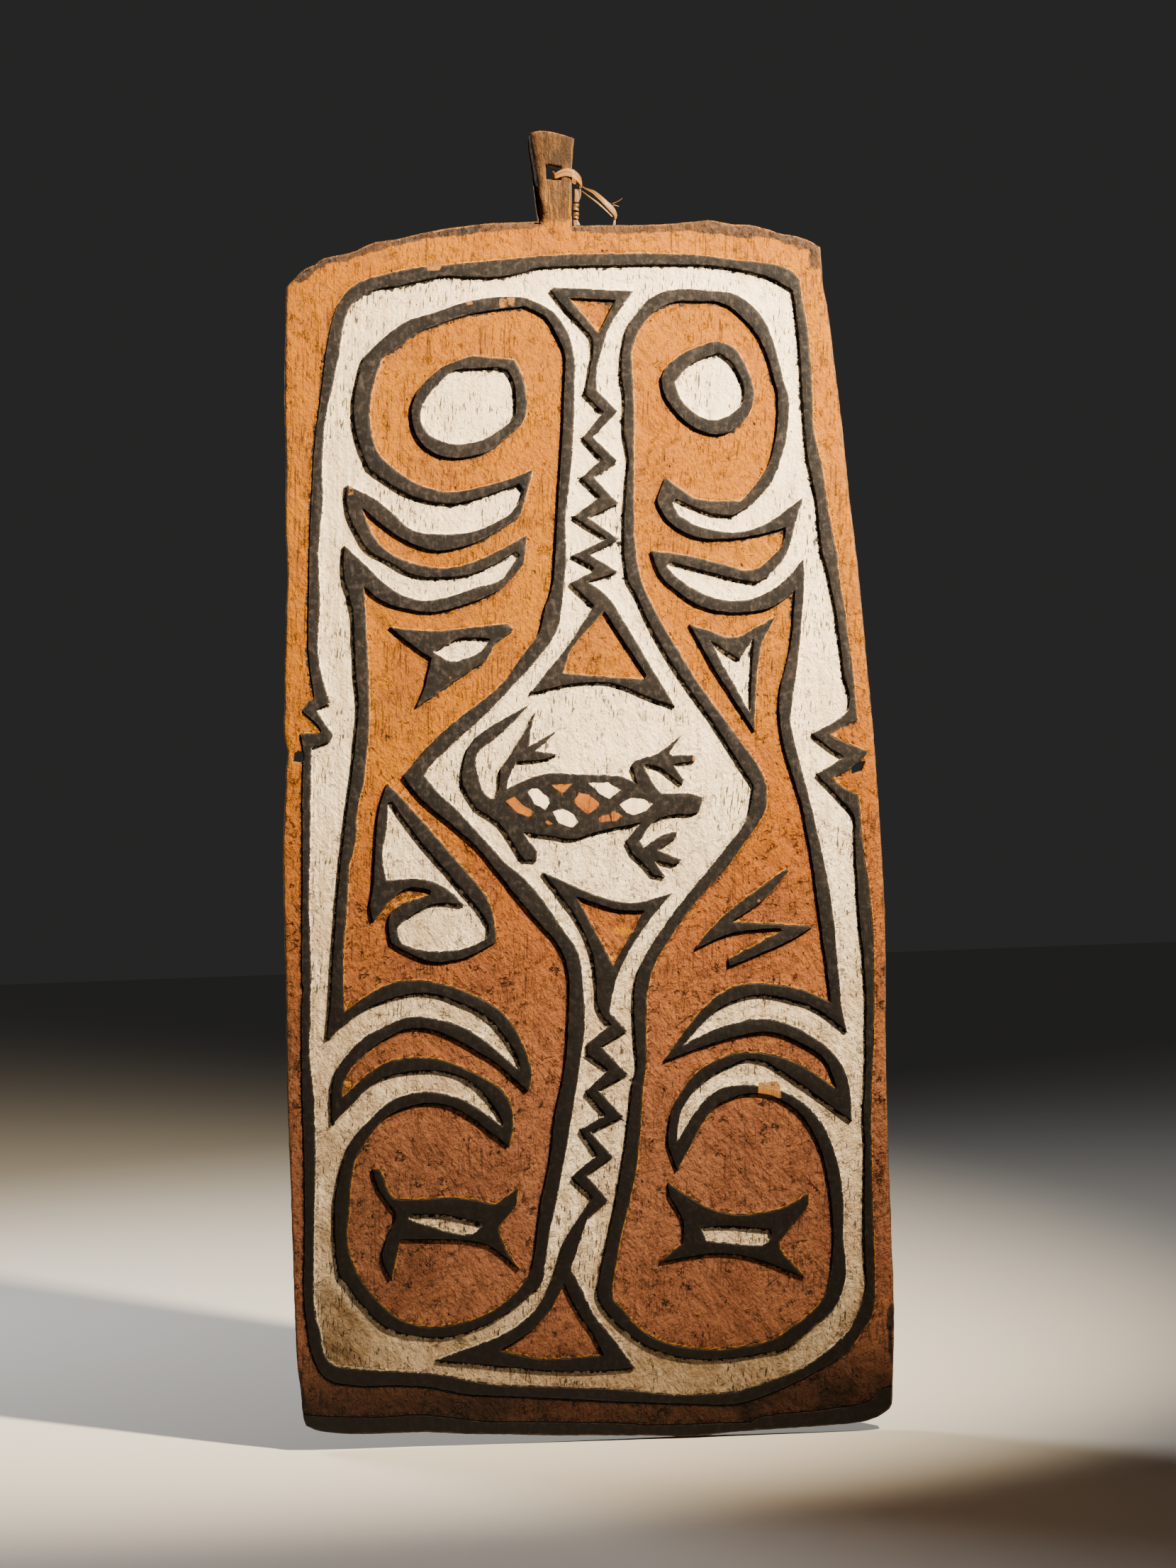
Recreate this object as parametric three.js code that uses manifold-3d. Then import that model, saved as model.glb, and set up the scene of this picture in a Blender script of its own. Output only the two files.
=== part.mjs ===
import * as THREE from "three";
import { mergeVertices } from "three/addons/utils/BufferGeometryUtils.js";
import Module from "manifold-3d";

// Wooden shield hewn from one plank, in millimetres, +Z up.
// The carved front faces -Y and the flat back lies on y = 0.
// The origin is on the back, halfway up the board's centreline.

// Overall sizes
const BOARD_WIDTH = 645;
const BODY_HEIGHT = 1290;
const BOARD_THICKNESS = 22;

// Depths of the carving, measured down from the face of the raised bands
const BORDER_DEPTH = 2;
const WHITE_DEPTH = 5;
const ORANGE_DEPTH = 4.5;

// Slanted left side of the tab
const TAB_SLANT = 3;
const TAB_BACK_LIP = 3;

// Cane lashing
const CANE_GAP = 0.35;
const LOOP_WIDTH = 8.8;
const LOOP_THICKNESS = 1.6;
const BINDING_DEPTH = 7;
const FLAP_DEPTH = 4;
const TAIL_THICKNESS = 1.1;
const SPLIT_THICKNESS = 0.9;
const FIBRE_THICKNESS = 0.7;

// Length by which a cutting solid runs past the wood
const OVERRUN = 6;
// Largest distance of a curve from the straight edges that follow it
const CHORD_SAG = 0.8;

// Every table holds thousandths of the board's width from the centreline and
// thousandths of its height from the bottom, in turn. Each inner list of an
// outline is one smooth stretch that starts at a corner.
const THOUSANDTH = 0.001;
const MIDDLE_SHARE = 0.5;

// Edge of the plank: top right, right side, bottom, left side, top left, tab
const boardShares = [
  [28.3, 995.2, 70, 995, 170, 994, 220, 995],
  [255, 996],
  [295, 992, 330, 990, 350, 987, 380, 982, 400, 980],
  [421, 976],
  [439, 970, 441, 955, 443, 935, 449, 915, 453, 893, 457, 865, 465, 820, 473, 760, 483, 700,
    492, 620, 497, 580, 503, 500, 506, 410, 503, 350, 499.5, 300, 497.5, 200, 498, 120, 497, 80,
    494, 51, 490, 20, 488, 9, 484, 5, 476, 2, 466, -1, 455, -3, 424, -6, 311, -8.5, 217, -10,
    170, -12, 136, -12, 77, -10, -64, -7.5, -228, -3, -275, -1, -369, -0.5, -420, 0.5, -463, 3.5],
  [-485, 8, -489, 16, -493, 44, -496.5, 75, -496, 220, -496, 282, -492, 360, -489, 470, -483, 520,
    -476, 570, -479, 580, -474, 640, -464, 720, -464, 750, -459, 820, -459, 850, -454, 905],
  [-449, 953, -437, 959, -412, 969],
  [-400, 970.5, -391, 974.5, -375, 977, -340, 980, -300, 987.5, -260, 990, -220, 994, -170, 997.5,
    -100, 1000, -60, 1000],
  [-27.5, 1000],
  [-39, 1071],
  [-34, 1074, -20, 1075, 0, 1074, 20, 1071],
  [37, 1068, 34.9, 1059.7, 32.9, 1047.3],
  [31.4, 1036],
];

// Square hole through the tab
const tabHoleShares = [[-11.6, 1047.6], [-12, 1034.8], [14, 1033.9], [14.4, 1044.8]];

// Two worn holes through the board at half height, one near each side
const leftHoleShares = [[-467, 559.5], [-463, 567, -457, 568, -450, 566.5], [-448, 560.5, -455, 558.5]];
const rightHoleShares = [[483, 542.5], [476, 534.5], [459.5, 532], [459.5, 537], [467.5, 540]];

// Upper edge of the raised strip along the bottom
const ledgeShares = [
  -489, 18, -463, 16, -364, 13, -310, 14, -221, 9, -181, 6, -81, 4, 49, 0.5, 68, -1, 112, -2,
  217, -2, 255, -2, 264, 1, 297, 3.5, 353, 5, 438, 10, 464, 17, 473, 22, 483, 23,
];

// Raised ring round the whole face, with a notch on each side at half height
const ringOuterShares = [
  [-190, 966, 0, 971, 100, 970.5, 170, 969, 240, 966.5, 300, 961.5, 368, 956, 397, 947],
  [403, 942, 405, 930, 413, 900, 417, 850, 417, 820, 428, 790, 437, 750, 449, 712, 450, 700,
    458, 665, 463, 640, 469, 608, 470, 590],
  [472, 577, 448, 573],
  [426, 566, 431, 563.5, 455, 557.5],
  [488, 550, 467, 540],
  [427, 529.5, 441, 522],
  [469, 514, 473, 483, 477, 455, 481, 440, 485, 405, 483, 340, 475, 282, 470, 245, 467.5, 170,
    466.5, 110, 464, 90, 456, 79, 441, 69, 417, 54, 391, 45, 335, 31, 278, 20, 236, 14,
    205, 13.5, 170, 14.5, 42, 19, -99, 25, -209, 29.5, -244, 33, -279, 37, -322, 39, -411, 41,
    -444, 46, -454, 50, -465, 60.5, -473, 75, -478, 97, -480, 123, -475, 165, -471, 240,
    -470, 300, -466, 352, -462, 372, -463.5, 382, -457, 465, -451, 545, -448.5, 568],
  [-452, 582],
  [-417, 582.5, -421, 587.5],
  [-447, 601, -437, 609],
  [-426, 611, -433, 645, -431, 680, -423, 752, -410, 822, -401, 850, -390, 885, -378, 915,
    -370, 929, -355, 943, -325, 955, -250, 963.5],
];
const ringInnerShares = [
  [-190, 957.5, -90, 955.5, -40, 961, 0, 962, 170, 960.5, 240, 959, 300, 954.5, 340, 949,
    360, 945],
  [391, 935, 394, 925, 399, 890, 403, 820, 408, 790, 417, 763, 425, 716, 433, 700, 445, 660,
    453, 618, 461, 598],
  [458, 585, 443, 579],
  [397, 567, 405, 563, 424, 555],
  [448, 546.5],
  [402, 533, 431, 517, 457, 501, 463, 492, 461.5, 475, 464, 410, 470, 355, 464, 280, 458, 248,
    459, 230, 453.5, 160, 452.5, 130, 453.5, 110, 447.5, 97, 433, 81, 422, 71, 389, 56.5,
    339, 40.5, 278, 30, 247, 25.5, 212, 23, 124, 23, 70, 27, -10, 31, -99, 34, -173, 37,
    -239, 44.5, -275, 48, -369, 52.5, -428, 56.5, -449, 66, -456, 86, -463.5, 105, -460, 170,
    -454, 224, -452, 285, -456.5, 312, -449.5, 380, -448.5, 440, -444, 480, -437, 550],
  [-435, 570.5, -404, 575],
  [-399, 581],
  [-426, 602],
  [-400.5, 607, -405, 614, -413, 630, -418, 655, -413, 682, -410, 740, -402, 768, -398, 820,
    -388, 850, -370, 885, -357, 917, -350, 928, -340, 937, -310, 947.5, -265, 951, -240, 953.5],
];

// Left panel: the band's outer side and the edge of the ground inside it
const leftPanelOuterShares = [
  [-324, 892, -290, 908, -250, 921, -200, 928, -150, 935.5, -90, 938.5, -50, 936, -15, 927,
    0, 920, 17, 905, 25, 885, 24.5, 870, 14, 798, 1, 755, -1, 720, -8, 690, -20, 661, -48, 641,
    -83, 623, -130, 600, -195, 572, -237, 553],
  [-250, 544, -223, 527, -202, 517, -160, 493, -118, 468, -87, 454, -26, 410, -5, 392, 0.5, 373,
    0.5, 328, -8, 302, -24, 260, -50, 200, -70, 160, -84, 122, -99, 113.5, -142, 97, -192, 85,
    -250, 78, -323, 83, -366, 97, -411, 126.5, -422, 139, -425, 178, -422, 197, -410.5, 221,
    -390, 245, -364, 258, -324, 275, -270, 281.5, -204, 273.5],
  [-140.5, 250.5, -145, 260.5, -181, 285, -228, 297.5, -284, 299.5, -341, 293.5, -376, 280],
  [-423, 257.5, -422, 284, -413.5, 300.5, -392, 316, -359, 330, -296, 343.5, -251, 342,
    -204, 335, -160, 320],
  [-110, 296.5, -111, 307.5, -137, 329.5, -170, 346, -235, 361, -289, 363, -362, 352],
  [-426, 327.5, -418.5, 360, -402, 440, -385, 500, -366, 557, -353.5, 608, -356.5, 628,
    -358, 683, -370, 712],
  [-367, 737, -330, 718, -305, 705, -270, 693, -240, 689, -200, 691, -145, 699, -110, 704],
  [-78, 724],
  [-84, 727, -140, 713, -175, 708.5, -220, 708, -260, 712],
  [-331, 734, -357, 761, -361, 780],
  [-359, 787, -315, 775, -285, 762, -255, 748, -215, 743.5, -150, 745, -85, 761],
  [-67, 778],
  [-75, 783, -140, 773, -180, 769, -230, 772, -280, 784],
  [-322, 800, -340, 828, -343, 855, -333, 878],
];
const leftPanelInnerShares = [
  [-290, 894, -255, 903, -235, 911, -150, 925],
  [-55, 930, -20, 920, -3, 905, 8, 892, 9, 880, 1, 825, -14, 750, -24, 700, -38, 680, -49, 660,
    -79, 640, -123, 613.5, -171, 596.5, -244, 566.5],
  [-284, 544, -258, 526, -199, 499, -158, 478, -102, 440, -39, 400, -24, 380, -22, 358, -33, 300,
    -53, 258, -64, 220, -84, 180, -97, 140, -114, 120, -165, 98.5, -216, 89.5, -275, 86.5,
    -329, 96, -383, 126.5, -405, 157, -399, 192, -388, 226, -348, 255, -312, 267.5, -256, 272.5,
    -204, 263.5, -160, 246],
  [-132, 234.5, -123.5, 250, -127, 270, -147, 284, -192, 297.5, -242, 308, -298, 310, -345, 303],
  [-404.5, 280, -400, 294.5, -364, 316, -300, 333.5, -245, 332, -185, 316, -141, 300.5],
  [-97, 279.5, -89.5, 295, -106, 322, -138, 346.5, -204, 365.5, -277, 374.5, -336, 369],
  [-396, 350, -395, 390, -382, 458, -379, 473, -367, 492, -361, 522, -353.5, 534, -339, 580,
    -336, 630],
  [-338, 703, -300, 688, -220, 679.5, -130, 692, -100, 702],
  [-72, 716],
  [-64, 740, -130, 724, -200, 715, -275, 724, -318, 743],
  [-336, 768, -280, 744, -215, 730, -140, 738],
  [-73, 757.5],
  [-51, 794, -100, 785.5, -180, 778, -220, 781.5, -258, 790, -305, 812, -317, 835, -317, 850,
    -307, 875],
];
const leftEyeOuterShares = [
  [-145, 890, -95, 887],
  [-75, 885.5, -60, 867, -58, 842, -76, 829, -125, 811, -181, 806.5, -221, 813.5, -244, 829,
    -247, 850, -228, 868, -190, 883],
];
const leftEyeInnerShares = [
  [-160, 880, -100, 879.5, -80, 872, -75, 842, -100, 829, -130, 821, -176, 817.5, -221, 826.5,
    -234, 843, -218, 860, -180, 878],
];

// Right panel, in the same way
const rightPanelOuterShares = [
  [150, 931, 170, 936.5, 200, 939.5, 260, 936.5, 302, 932, 345, 908, 372, 858, 378, 843,
    370, 810, 350, 782, 327, 767, 278, 750.5, 230, 755],
  [184, 766],
  [179, 762, 188, 753, 207, 746, 231, 740.5, 283, 736, 335, 742.5],
  [395, 763, 378, 736, 361, 714, 325, 697, 298, 695.5, 229, 705],
  [171, 714],
  [165, 710, 189, 697.5, 241, 682.5, 302, 680, 356, 693],
  [393, 712, 392, 690, 380, 637, 362.5, 585, 363.5, 570, 382, 526, 404, 473, 419, 422,
    425, 375, 428.5, 340],
  [435.5, 319, 391, 337.5, 344, 347, 288, 352, 222, 341],
  [163, 312, 217, 324.5, 290, 332, 344, 325.5, 401, 307, 428, 288, 437, 270],
  [438, 245, 391, 263.5, 323, 289, 273, 299, 200, 283.5, 157, 258.5],
  [147, 232.5, 182, 257.5, 224, 275.5, 288, 276.5, 344, 266.5, 386, 245.5, 412, 212, 420, 172,
    417, 150, 419, 118, 402, 93, 370, 79, 320, 59.5, 288, 56, 229, 52, 170, 52, 126, 56.5,
    84, 65, 42, 82, 10, 103, 10, 120, 40, 180, 65, 240, 77, 280, 86, 296, 84, 340, 93, 374,
    133, 407.5, 184, 439, 264, 485, 287, 503],
  [296, 526, 238, 575, 156, 641, 111, 690, 98, 710, 104, 780, 109, 800, 103, 822, 106, 850,
    102, 875, 108, 896, 118, 912],
];
const rightPanelInnerShares = [
  [160, 922, 190, 929, 240, 928.5, 280, 925, 330, 899, 355, 862, 360, 838, 344, 795, 299, 765,
    281, 762.5, 219, 765],
  [169, 784],
  [153.5, 765, 170, 748, 222, 732.5, 306, 732.5],
  [365, 739, 358, 724, 313, 705, 276, 707, 210, 717],
  [141, 723, 156, 702, 208, 679, 259, 670.5, 330, 672],
  [377, 686.5, 366, 640, 346, 603, 344, 578, 352, 550, 376, 505, 392, 448, 398, 412, 407, 372],
  [411, 343, 368, 354, 316, 360, 252, 359.5, 194, 339.5],
  [131, 300, 219, 314, 302, 321, 358, 311, 398, 296],
  [416.5, 271, 372, 287.5, 325, 299.5, 255, 304.5, 184, 289, 142, 259.5],
  [132.5, 232],
  [146.5, 209, 196, 251, 233, 266, 288, 270, 349, 255, 388, 218, 401, 165, 398, 130, 379, 97,
    328, 75.5, 285, 64, 231, 60, 186, 59.5, 124, 65, 79, 77, 41, 99, 31, 110, 51, 160, 78, 210,
    95, 280, 102, 302, 105, 343, 121, 380, 191, 430, 238, 453.5, 283, 482, 310, 501, 318, 518,
    304, 542, 229, 598, 189, 631, 122, 700, 115, 765, 121, 845, 121, 890, 140, 911],
];
const rightEyeOuterShares = [
  [260, 895, 290, 889, 315, 866, 320, 848, 304, 829, 263, 818, 217, 825, 180, 845, 168, 866,
    190, 881, 220, 889],
];
const rightEyeInnerShares = [
  [265, 885.5, 220, 878],
  [190, 863, 200, 847, 228, 834, 260, 830, 298, 841, 305, 855, 300, 864, 282, 879],
];

// Middle column, upper half: small triangle, zigzag stem, large triangle
const topStemShares = [
  [-10, 942],
  [-5, 944.5, 60, 942],
  [126, 939, 108, 927, 85, 910, 62, 876],
  [61, 858],
  [93, 840],
  [51, 819.5],
  [90, 799],
  [50, 785.5],
  [89, 764],
  [37, 753],
  [87, 734],
  [37, 722.5],
  [84, 707],
  [32, 699.5, 67, 686, 108, 650],
  [170, 594, 124, 603, 72, 614.5, 9, 616, -19, 614],
  [-68, 609, -41, 625, 0, 649],
  [43, 680],
  [5, 699],
  [44, 708],
  [45, 711.5],
  [10, 721.5],
  [68, 735],
  [14, 754],
  [59, 769.5],
  [29, 786],
  [65, 801],
  [34, 819],
  [70, 840],
  [41, 855, 57, 895, 45, 909, 15, 926],
];
const smallTriangleShares = [[20, 935.5], [97, 932.5], [67, 905]];
const upTriangleShares = [[59, 675, 94.7, 645], [125, 620.5], [124, 616.5, 42, 621], [-13, 624.5, -1, 642, 20, 655]];

// Middle column, lower half: large triangle, zigzag stem, bottom triangle
const bottomStemShares = [
  [-58, 460, -12, 449, 35, 438, 91, 432],
  [155, 439, 119, 419.5, 70, 383, 51, 359.5],
  [43.5, 342],
  [71, 326],
  [26.5, 314],
  [70, 290],
  [19.5, 278],
  [59, 255.5],
  [5, 243],
  [40, 222],
  [-6, 208],
  [30, 186.5],
  [-5, 172.5],
  [-36, 130, -17, 109, 1, 90, 28, 72.5],
  [63, 46.5, 13, 45.5, -64, 46.5, -180, 53.5],
  [-264, 58.8, -213, 67.5, -149, 79, -95, 99, -64, 127.5, -42, 157],
  [5, 189.5],
  [-28, 206],
  [-20.5, 210],
  [15, 224],
  [-12, 246],
  [32, 257],
  [0, 277],
  [38, 294.7],
  [4.6, 308],
  [5.3, 317],
  [46.5, 332, 26.5, 345, 20, 388, -6, 422],
];
const downTriangleShares = [[-5, 439.5, 58, 427.5], [107.5, 425.3, 86, 407.5], [52.5, 380.5, 33.5, 400.5]];
const bottomTriangleShares = [
  [-48, 119, -29, 97, -3, 76],
  [13.5, 58, -52, 56.4, -97, 57],
  [-159.5, 65, -111, 79, -73.5, 97],
];

// Motifs inside the panels, each with its white pocket
const leftMotifShares = [
  [-297, 668, -230, 663.5],
  [-102, 667],
  [-93, 662],
  [-128, 648],
  [-137, 639.5, -195, 621],
  [-258, 601, -242, 619],
  [-230, 641, -260, 652],
];
const leftMotifSlotShares = [[-226, 646, -180, 657], [-131, 655.5, -150, 644.5, -180, 639, -200, 638]];
const rightVeeShares = [
  [200, 661, 238, 654, 274, 649],
  [343, 665, 317, 641, 305, 600],
  [300.6, 571, 238, 624],
];
const rightVeePocketShares = [[233, 647, 288, 592.5, 296, 593.5], [305, 648], [280.5, 631]];
const hookShares = [
  [-311, 538.5, -277, 519.5, -185, 462.5, -149, 436],
  [-140, 404, -192, 392, -242, 389, -275, 394.5],
  [-315, 406, -317.5, 425, -301, 436],
  [-245, 445],
  [-246, 448.5, -277, 451.5, -305, 445],
  [-342.5, 425, -347, 437, -341.5, 450, -334.5, 488, -326.5, 517],
];
const hookPocketShares = [
  [-311, 523],
  [-304, 523, -263, 492.5, -164, 429.5, -152, 414.5],
  [-158, 406, -195, 399, -251, 398, -295, 405, -303, 418, -283, 427.5, -239, 437.5],
  [-192, 435.5, -221, 450, -261, 458],
  [-318, 458, -324, 477, -315, 500.5],
];
const rightBoltShares = [
  [345, 455],
  [348, 453, 304, 430.5],
  [251, 413.5],
  [385, 407, 339, 394.7],
  [245, 376.5],
  [244, 382.5],
  [336, 404.5],
  [332, 406.5, 255, 404.5],
  [190, 392, 226, 412.5, 306, 442.5],
];
const leftBowShares = [
  [-358, 219],
  [-347, 219, -331, 198, -310, 193, -216, 192.5],
  [-158, 185.5],
  [-119.5, 199],
  [-123, 185],
  [-153.5, 167.5],
  [-152, 162, -142, 147.5],
  [-122, 132, -171, 152.5, -232, 158.5],
  [-317, 160],
  [-335, 128, -347, 142, -345, 153.5],
  [-324, 178],
  [-324, 183.5, -350, 203],
];
const leftBowSlotShares = [[-302, 181, -239, 179], [-177, 170.5, -197, 162.5, -228, 163.5], [-302, 176.5]];
const rightBowShares = [
  [131, 199, 193, 177.5, 252, 170, 321, 175],
  [362, 185.5],
  [362, 177],
  [311, 147],
  [312, 140],
  [350, 116.5, 273, 133, 205, 139],
  [112, 133.5],
  [151, 148, 153.5, 161, 149, 172.5],
  [131, 189],
];
const rightBowSlotShares = [[181, 161, 222, 161.5], [297, 157.5], [299, 153, 283, 144, 226, 147], [191, 149.5]];

// Small animal with curled tail and split feet in the middle of the face
const animalShares = [
  [-71, 599.5, -146, 579.5, -175, 565, -187, 541, -180.5, 529, -163, 515, -128, 502, -92, 473.5],
  [-85, 471],
  [-69, 470],
  [-67, 477.5],
  [-89, 494, -33, 489, -5, 487, 42, 493],
  [107, 498.5],
  [82, 483, 91, 473.5, 108, 465],
  [124, 454.5],
  [143, 453],
  [126.5, 467, 159, 462.5],
  [172, 466.5],
  [133.5, 475],
  [165, 485],
  [166.5, 489.5, 145, 487.5],
  [110, 477.5],
  [104, 483],
  [134, 500.5, 157, 504, 198, 504.7, 206, 508, 210.5, 515, 203, 519],
  [143, 522, 129, 531],
  [113.5, 547, 141, 543.5],
  [177, 529],
  [180.5, 532.5],
  [163, 546],
  [199, 547.5],
  [200.5, 551],
  [196, 553, 164, 553],
  [159.5, 556],
  [179.5, 569.5, 138, 554.7],
  [101, 550],
  [96, 545],
  [104, 530, 77, 537, 18, 539.5, -38, 542, -76, 538],
  [-113.5, 530, -109, 539.5],
  [-95, 553, -55, 553.5],
  [-28, 557.5],
  [-64, 561],
  [-26.5, 577],
  [-74, 565, -69, 580.5],
  [-60, 594],
  [-79, 578, -109, 556, -122, 546.5, -127, 530],
  [-135, 522, -151, 527.5, -163, 550, -156, 563, -113.5, 579.5],
];

// Cane outlines seen from the front
const bundleShares = [[31.9, 1026.6], [46.4, 1026.6, 46, 1022, 43.5, 1018], [41, 1015.4], [34, 1015.4], [31.2, 1018.5]];
const upperTurnShares = [[31.2, 1015.1], [38.5, 1015.1, 42.2, 1012.2, 42, 1009.4], [40.5, 1007.7], [30.4, 1007.7]];
const lowerTurnShares = [[30.4, 1007.4], [40.5, 1007.4, 41.8, 1004.6], [38.8, 1001.6], [30.2, 1001.6]];
const flapShares = [[31.2, 1001.3], [38.9, 1001.3], [42.7, 995.6], [31.4, 995.6]];

// Centreline of the loop that holds the tab's right half: across, back to
// front as thousandths of the tab's thickness, and up
const loopPathShares = [
  [4, 990, 1038.4], [14, 1005, 1039], [24, 1005, 1039.1], [34, 1000, 1038.6],
  [41, 850, 1036.2], [45.6, 660, 1032.6], [47.2, 470, 1030.3], [45.6, 230, 1031.6],
  [40, 50, 1034.4], [32, -5, 1036.6], [18, -5, 1038], [8, 5, 1038.4],
  [2, 160, 1038.6], [0, 420, 1038.6], [0, 760, 1038.4],
];

// Loose cane: across, back to front as thousandths of the tab's thickness, up,
// and width as thousandths of the loop's width
const tailPathShares = [
  [49.3, 470, 1028.5, 130], [52.6, 500, 1027.2, 170], [59.3, 560, 1025.4, 290], [66.3, 620, 1023.5, 430],
  [73, 660, 1020.6, 500], [83.7, 680, 1015.2, 600], [92.2, 640, 1010.9, 690], [99.2, 570, 1006.4, 620],
  [102.2, 520, 1003.4, 420], [101.4, 500, 1000.2, 170],
];
const splitPathShares = [
  [47.6, 500, 1024.9, 110], [54, 540, 1022.1, 150], [61.6, 580, 1018.9, 190], [71.5, 600, 1014.9, 230],
  [80, 590, 1011, 210], [87.6, 570, 1007.3, 160], [96.8, 540, 1002.4, 110],
];
const strandPathShares = [
  [100.7, 500, 999.9, 200], [99.7, 490, 997.2, 300], [99.2, 480, 995, 280],
];
const upperFibrePathShares = [
  [96.8, 630, 1013.2, 100], [103.5, 640, 1014.2, 100], [109, 680, 1015.4, 90], [114, 720, 1017, 60],
];
const lowerFibrePathShares = [
  [98, 600, 1011.9, 90], [103.4, 520, 1011.9, 90], [108.4, 490, 1010.7, 60],
];

const wasm = await Module();
wasm.setup();

const wood = { color: 0x7a5236, roughness: 0.82, metalness: 0 };
const cane = { color: 0xd9b071, roughness: 0.45, metalness: 0 };
const darkCane = { color: 0x8a6238, roughness: 0.6, metalness: 0 };

// Point of the face from its shares of the board's width and height
function facePoint(across, up) {
  return new THREE.Vector2(
    across * THOUSANDTH * BOARD_WIDTH,
    (up * THOUSANDTH - MIDDLE_SHARE) * BODY_HEIGHT,
  );
}

// Face of the tab, which lies as deep as the border
function tabFront() {
  return BOARD_THICKNESS - BORDER_DEPTH;
}

// Points of one stretch as places on the face
function stretchPoints(stretch) {
  const points = [];
  for (let i = 0; i < stretch.length; i += 2) points.push(facePoint(stretch[i], stretch[i + 1]));
  return points;
}

// Points along one stretch, with a point added where the curve leaves the chord
function followStretch(stretch, end) {
  const points = [...stretchPoints(stretch), end];
  const curve = new THREE.SplineCurve(points);
  const spans = points.length - 1;
  const followed = [];
  for (let i = 0; i < spans; i++) {
    followed.push(points[i]);
    const middle = curve.getPoint((i + 0.5) / spans);
    const chord = points[i].clone().lerp(points[i + 1], 0.5);
    if (middle.distanceTo(chord) > CHORD_SAG) followed.push(middle);
  }
  return followed;
}

// Closed outline through all stretches of a table
function outline(stretches) {
  return stretches.flatMap((stretch, i) => {
    const next = stretches[(i + 1) % stretches.length];
    return followStretch(stretch, facePoint(next[0], next[1]));
  });
}

// Solid for cutting and joining, made from a closed geometry
function solid(geometry) {
  const bare = geometry.clone();
  bare.deleteAttribute("normal");
  bare.deleteAttribute("uv");
  const merged = mergeVertices(bare);
  return new wasm.Manifold(
    new wasm.Mesh({
      numProp: 3,
      vertProperties: merged.attributes.position.array,
      triVerts: new Uint32Array(merged.index.array),
    }),
  );
}

// Geometry of a finished solid
function geometryOf(body) {
  const mesh = body.getMesh();
  const geometry = new THREE.BufferGeometry();
  geometry.setAttribute("position", new THREE.BufferAttribute(mesh.vertProperties, 3));
  geometry.setIndex(new THREE.BufferAttribute(mesh.triVerts, 1));
  geometry.computeVertexNormals();
  return geometry;
}

// Outline with holes, drawn on the face and thickened from one depth to another
function slab(points, holes, back, front) {
  const counterclockwise = THREE.ShapeUtils.isClockWise(points) ? [...points].reverse() : points;
  const shape = new THREE.Shape(counterclockwise);
  shape.holes = holes.map((hole) => new THREE.Path(hole));
  const geometry = new THREE.ExtrudeGeometry(shape, { depth: front - back, bevelEnabled: false });
  geometry.rotateX(Math.PI / 2);
  geometry.translate(0, -back, 0);
  return geometry;
}

// Pocket sunk into the front, leaving the given islands standing
function pocket(table, islands, depth) {
  return solid(
    slab(outline(table), islands.map(outline), BOARD_THICKNESS - depth, BOARD_THICKNESS + OVERRUN),
  );
}

// Hole right through the plank
function throughHole(table) {
  return solid(slab(outline(table), [], -OVERRUN, BOARD_THICKNESS + OVERRUN));
}

// Strip that stays raised along the bottom, run on past the plank's edges
function ledgeIsland() {
  const last = facePoint(...ledgeShares.slice(-2));
  const line = [...followStretch(ledgeShares.slice(0, -2), last), last];
  const first = line[0];
  const low = Math.min(...outline(boardShares).map((point) => point.y)) - OVERRUN;
  const reach = BOARD_WIDTH / 2 + OVERRUN;
  return [
    new THREE.Vector2(-reach, low),
    new THREE.Vector2(-reach, first.y),
    ...line,
    new THREE.Vector2(reach, last.y),
    new THREE.Vector2(reach, low),
  ];
}

// Shallow ground outside the ring, which also lowers the tab
function borderPocket() {
  const edge = new THREE.Box2().setFromPoints(outline(boardShares)).expandByScalar(2 * OVERRUN);
  const around = [
    new THREE.Vector2(edge.min.x, edge.min.y),
    new THREE.Vector2(edge.min.x, edge.max.y),
    new THREE.Vector2(edge.max.x, edge.max.y),
    new THREE.Vector2(edge.max.x, edge.min.y),
  ];
  const islands = [outline(ringOuterShares), ledgeIsland()];
  const back = BOARD_THICKNESS - BORDER_DEPTH;
  return solid(slab(around, islands, back, BOARD_THICKNESS + OVERRUN));
}

// Wedge that slants the tab's left side from a lip at the back to the front
function tabSlant() {
  const foot = facePoint(...boardShares[8]);
  const tip = facePoint(...boardShares[9]);
  const run = tip.clone().sub(foot);
  const rise = tabFront() - TAB_BACK_LIP;
  const beyond = (TAB_SLANT * (rise + OVERRUN)) / rise;
  const section = new THREE.Shape([
    new THREE.Vector2(-OVERRUN, TAB_BACK_LIP),
    new THREE.Vector2(0, TAB_BACK_LIP),
    new THREE.Vector2(beyond, tabFront() + OVERRUN),
    new THREE.Vector2(-OVERRUN, tabFront() + OVERRUN),
  ]);
  const geometry = new THREE.ExtrudeGeometry(section, {
    depth: run.length() + OVERRUN,
    bevelEnabled: false,
  });
  const lean = Math.atan2(run.x, run.y);
  const wedge = new THREE.Mesh(geometry);
  wedge.scale.y = -1;
  wedge.updateMatrix();
  geometry.applyMatrix4(wedge.matrix);
  geometry.index || flipFaces(geometry);
  geometry.rotateY(lean);
  geometry.translate(foot.x, 0, foot.y);
  return solid(geometry);
}

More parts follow.
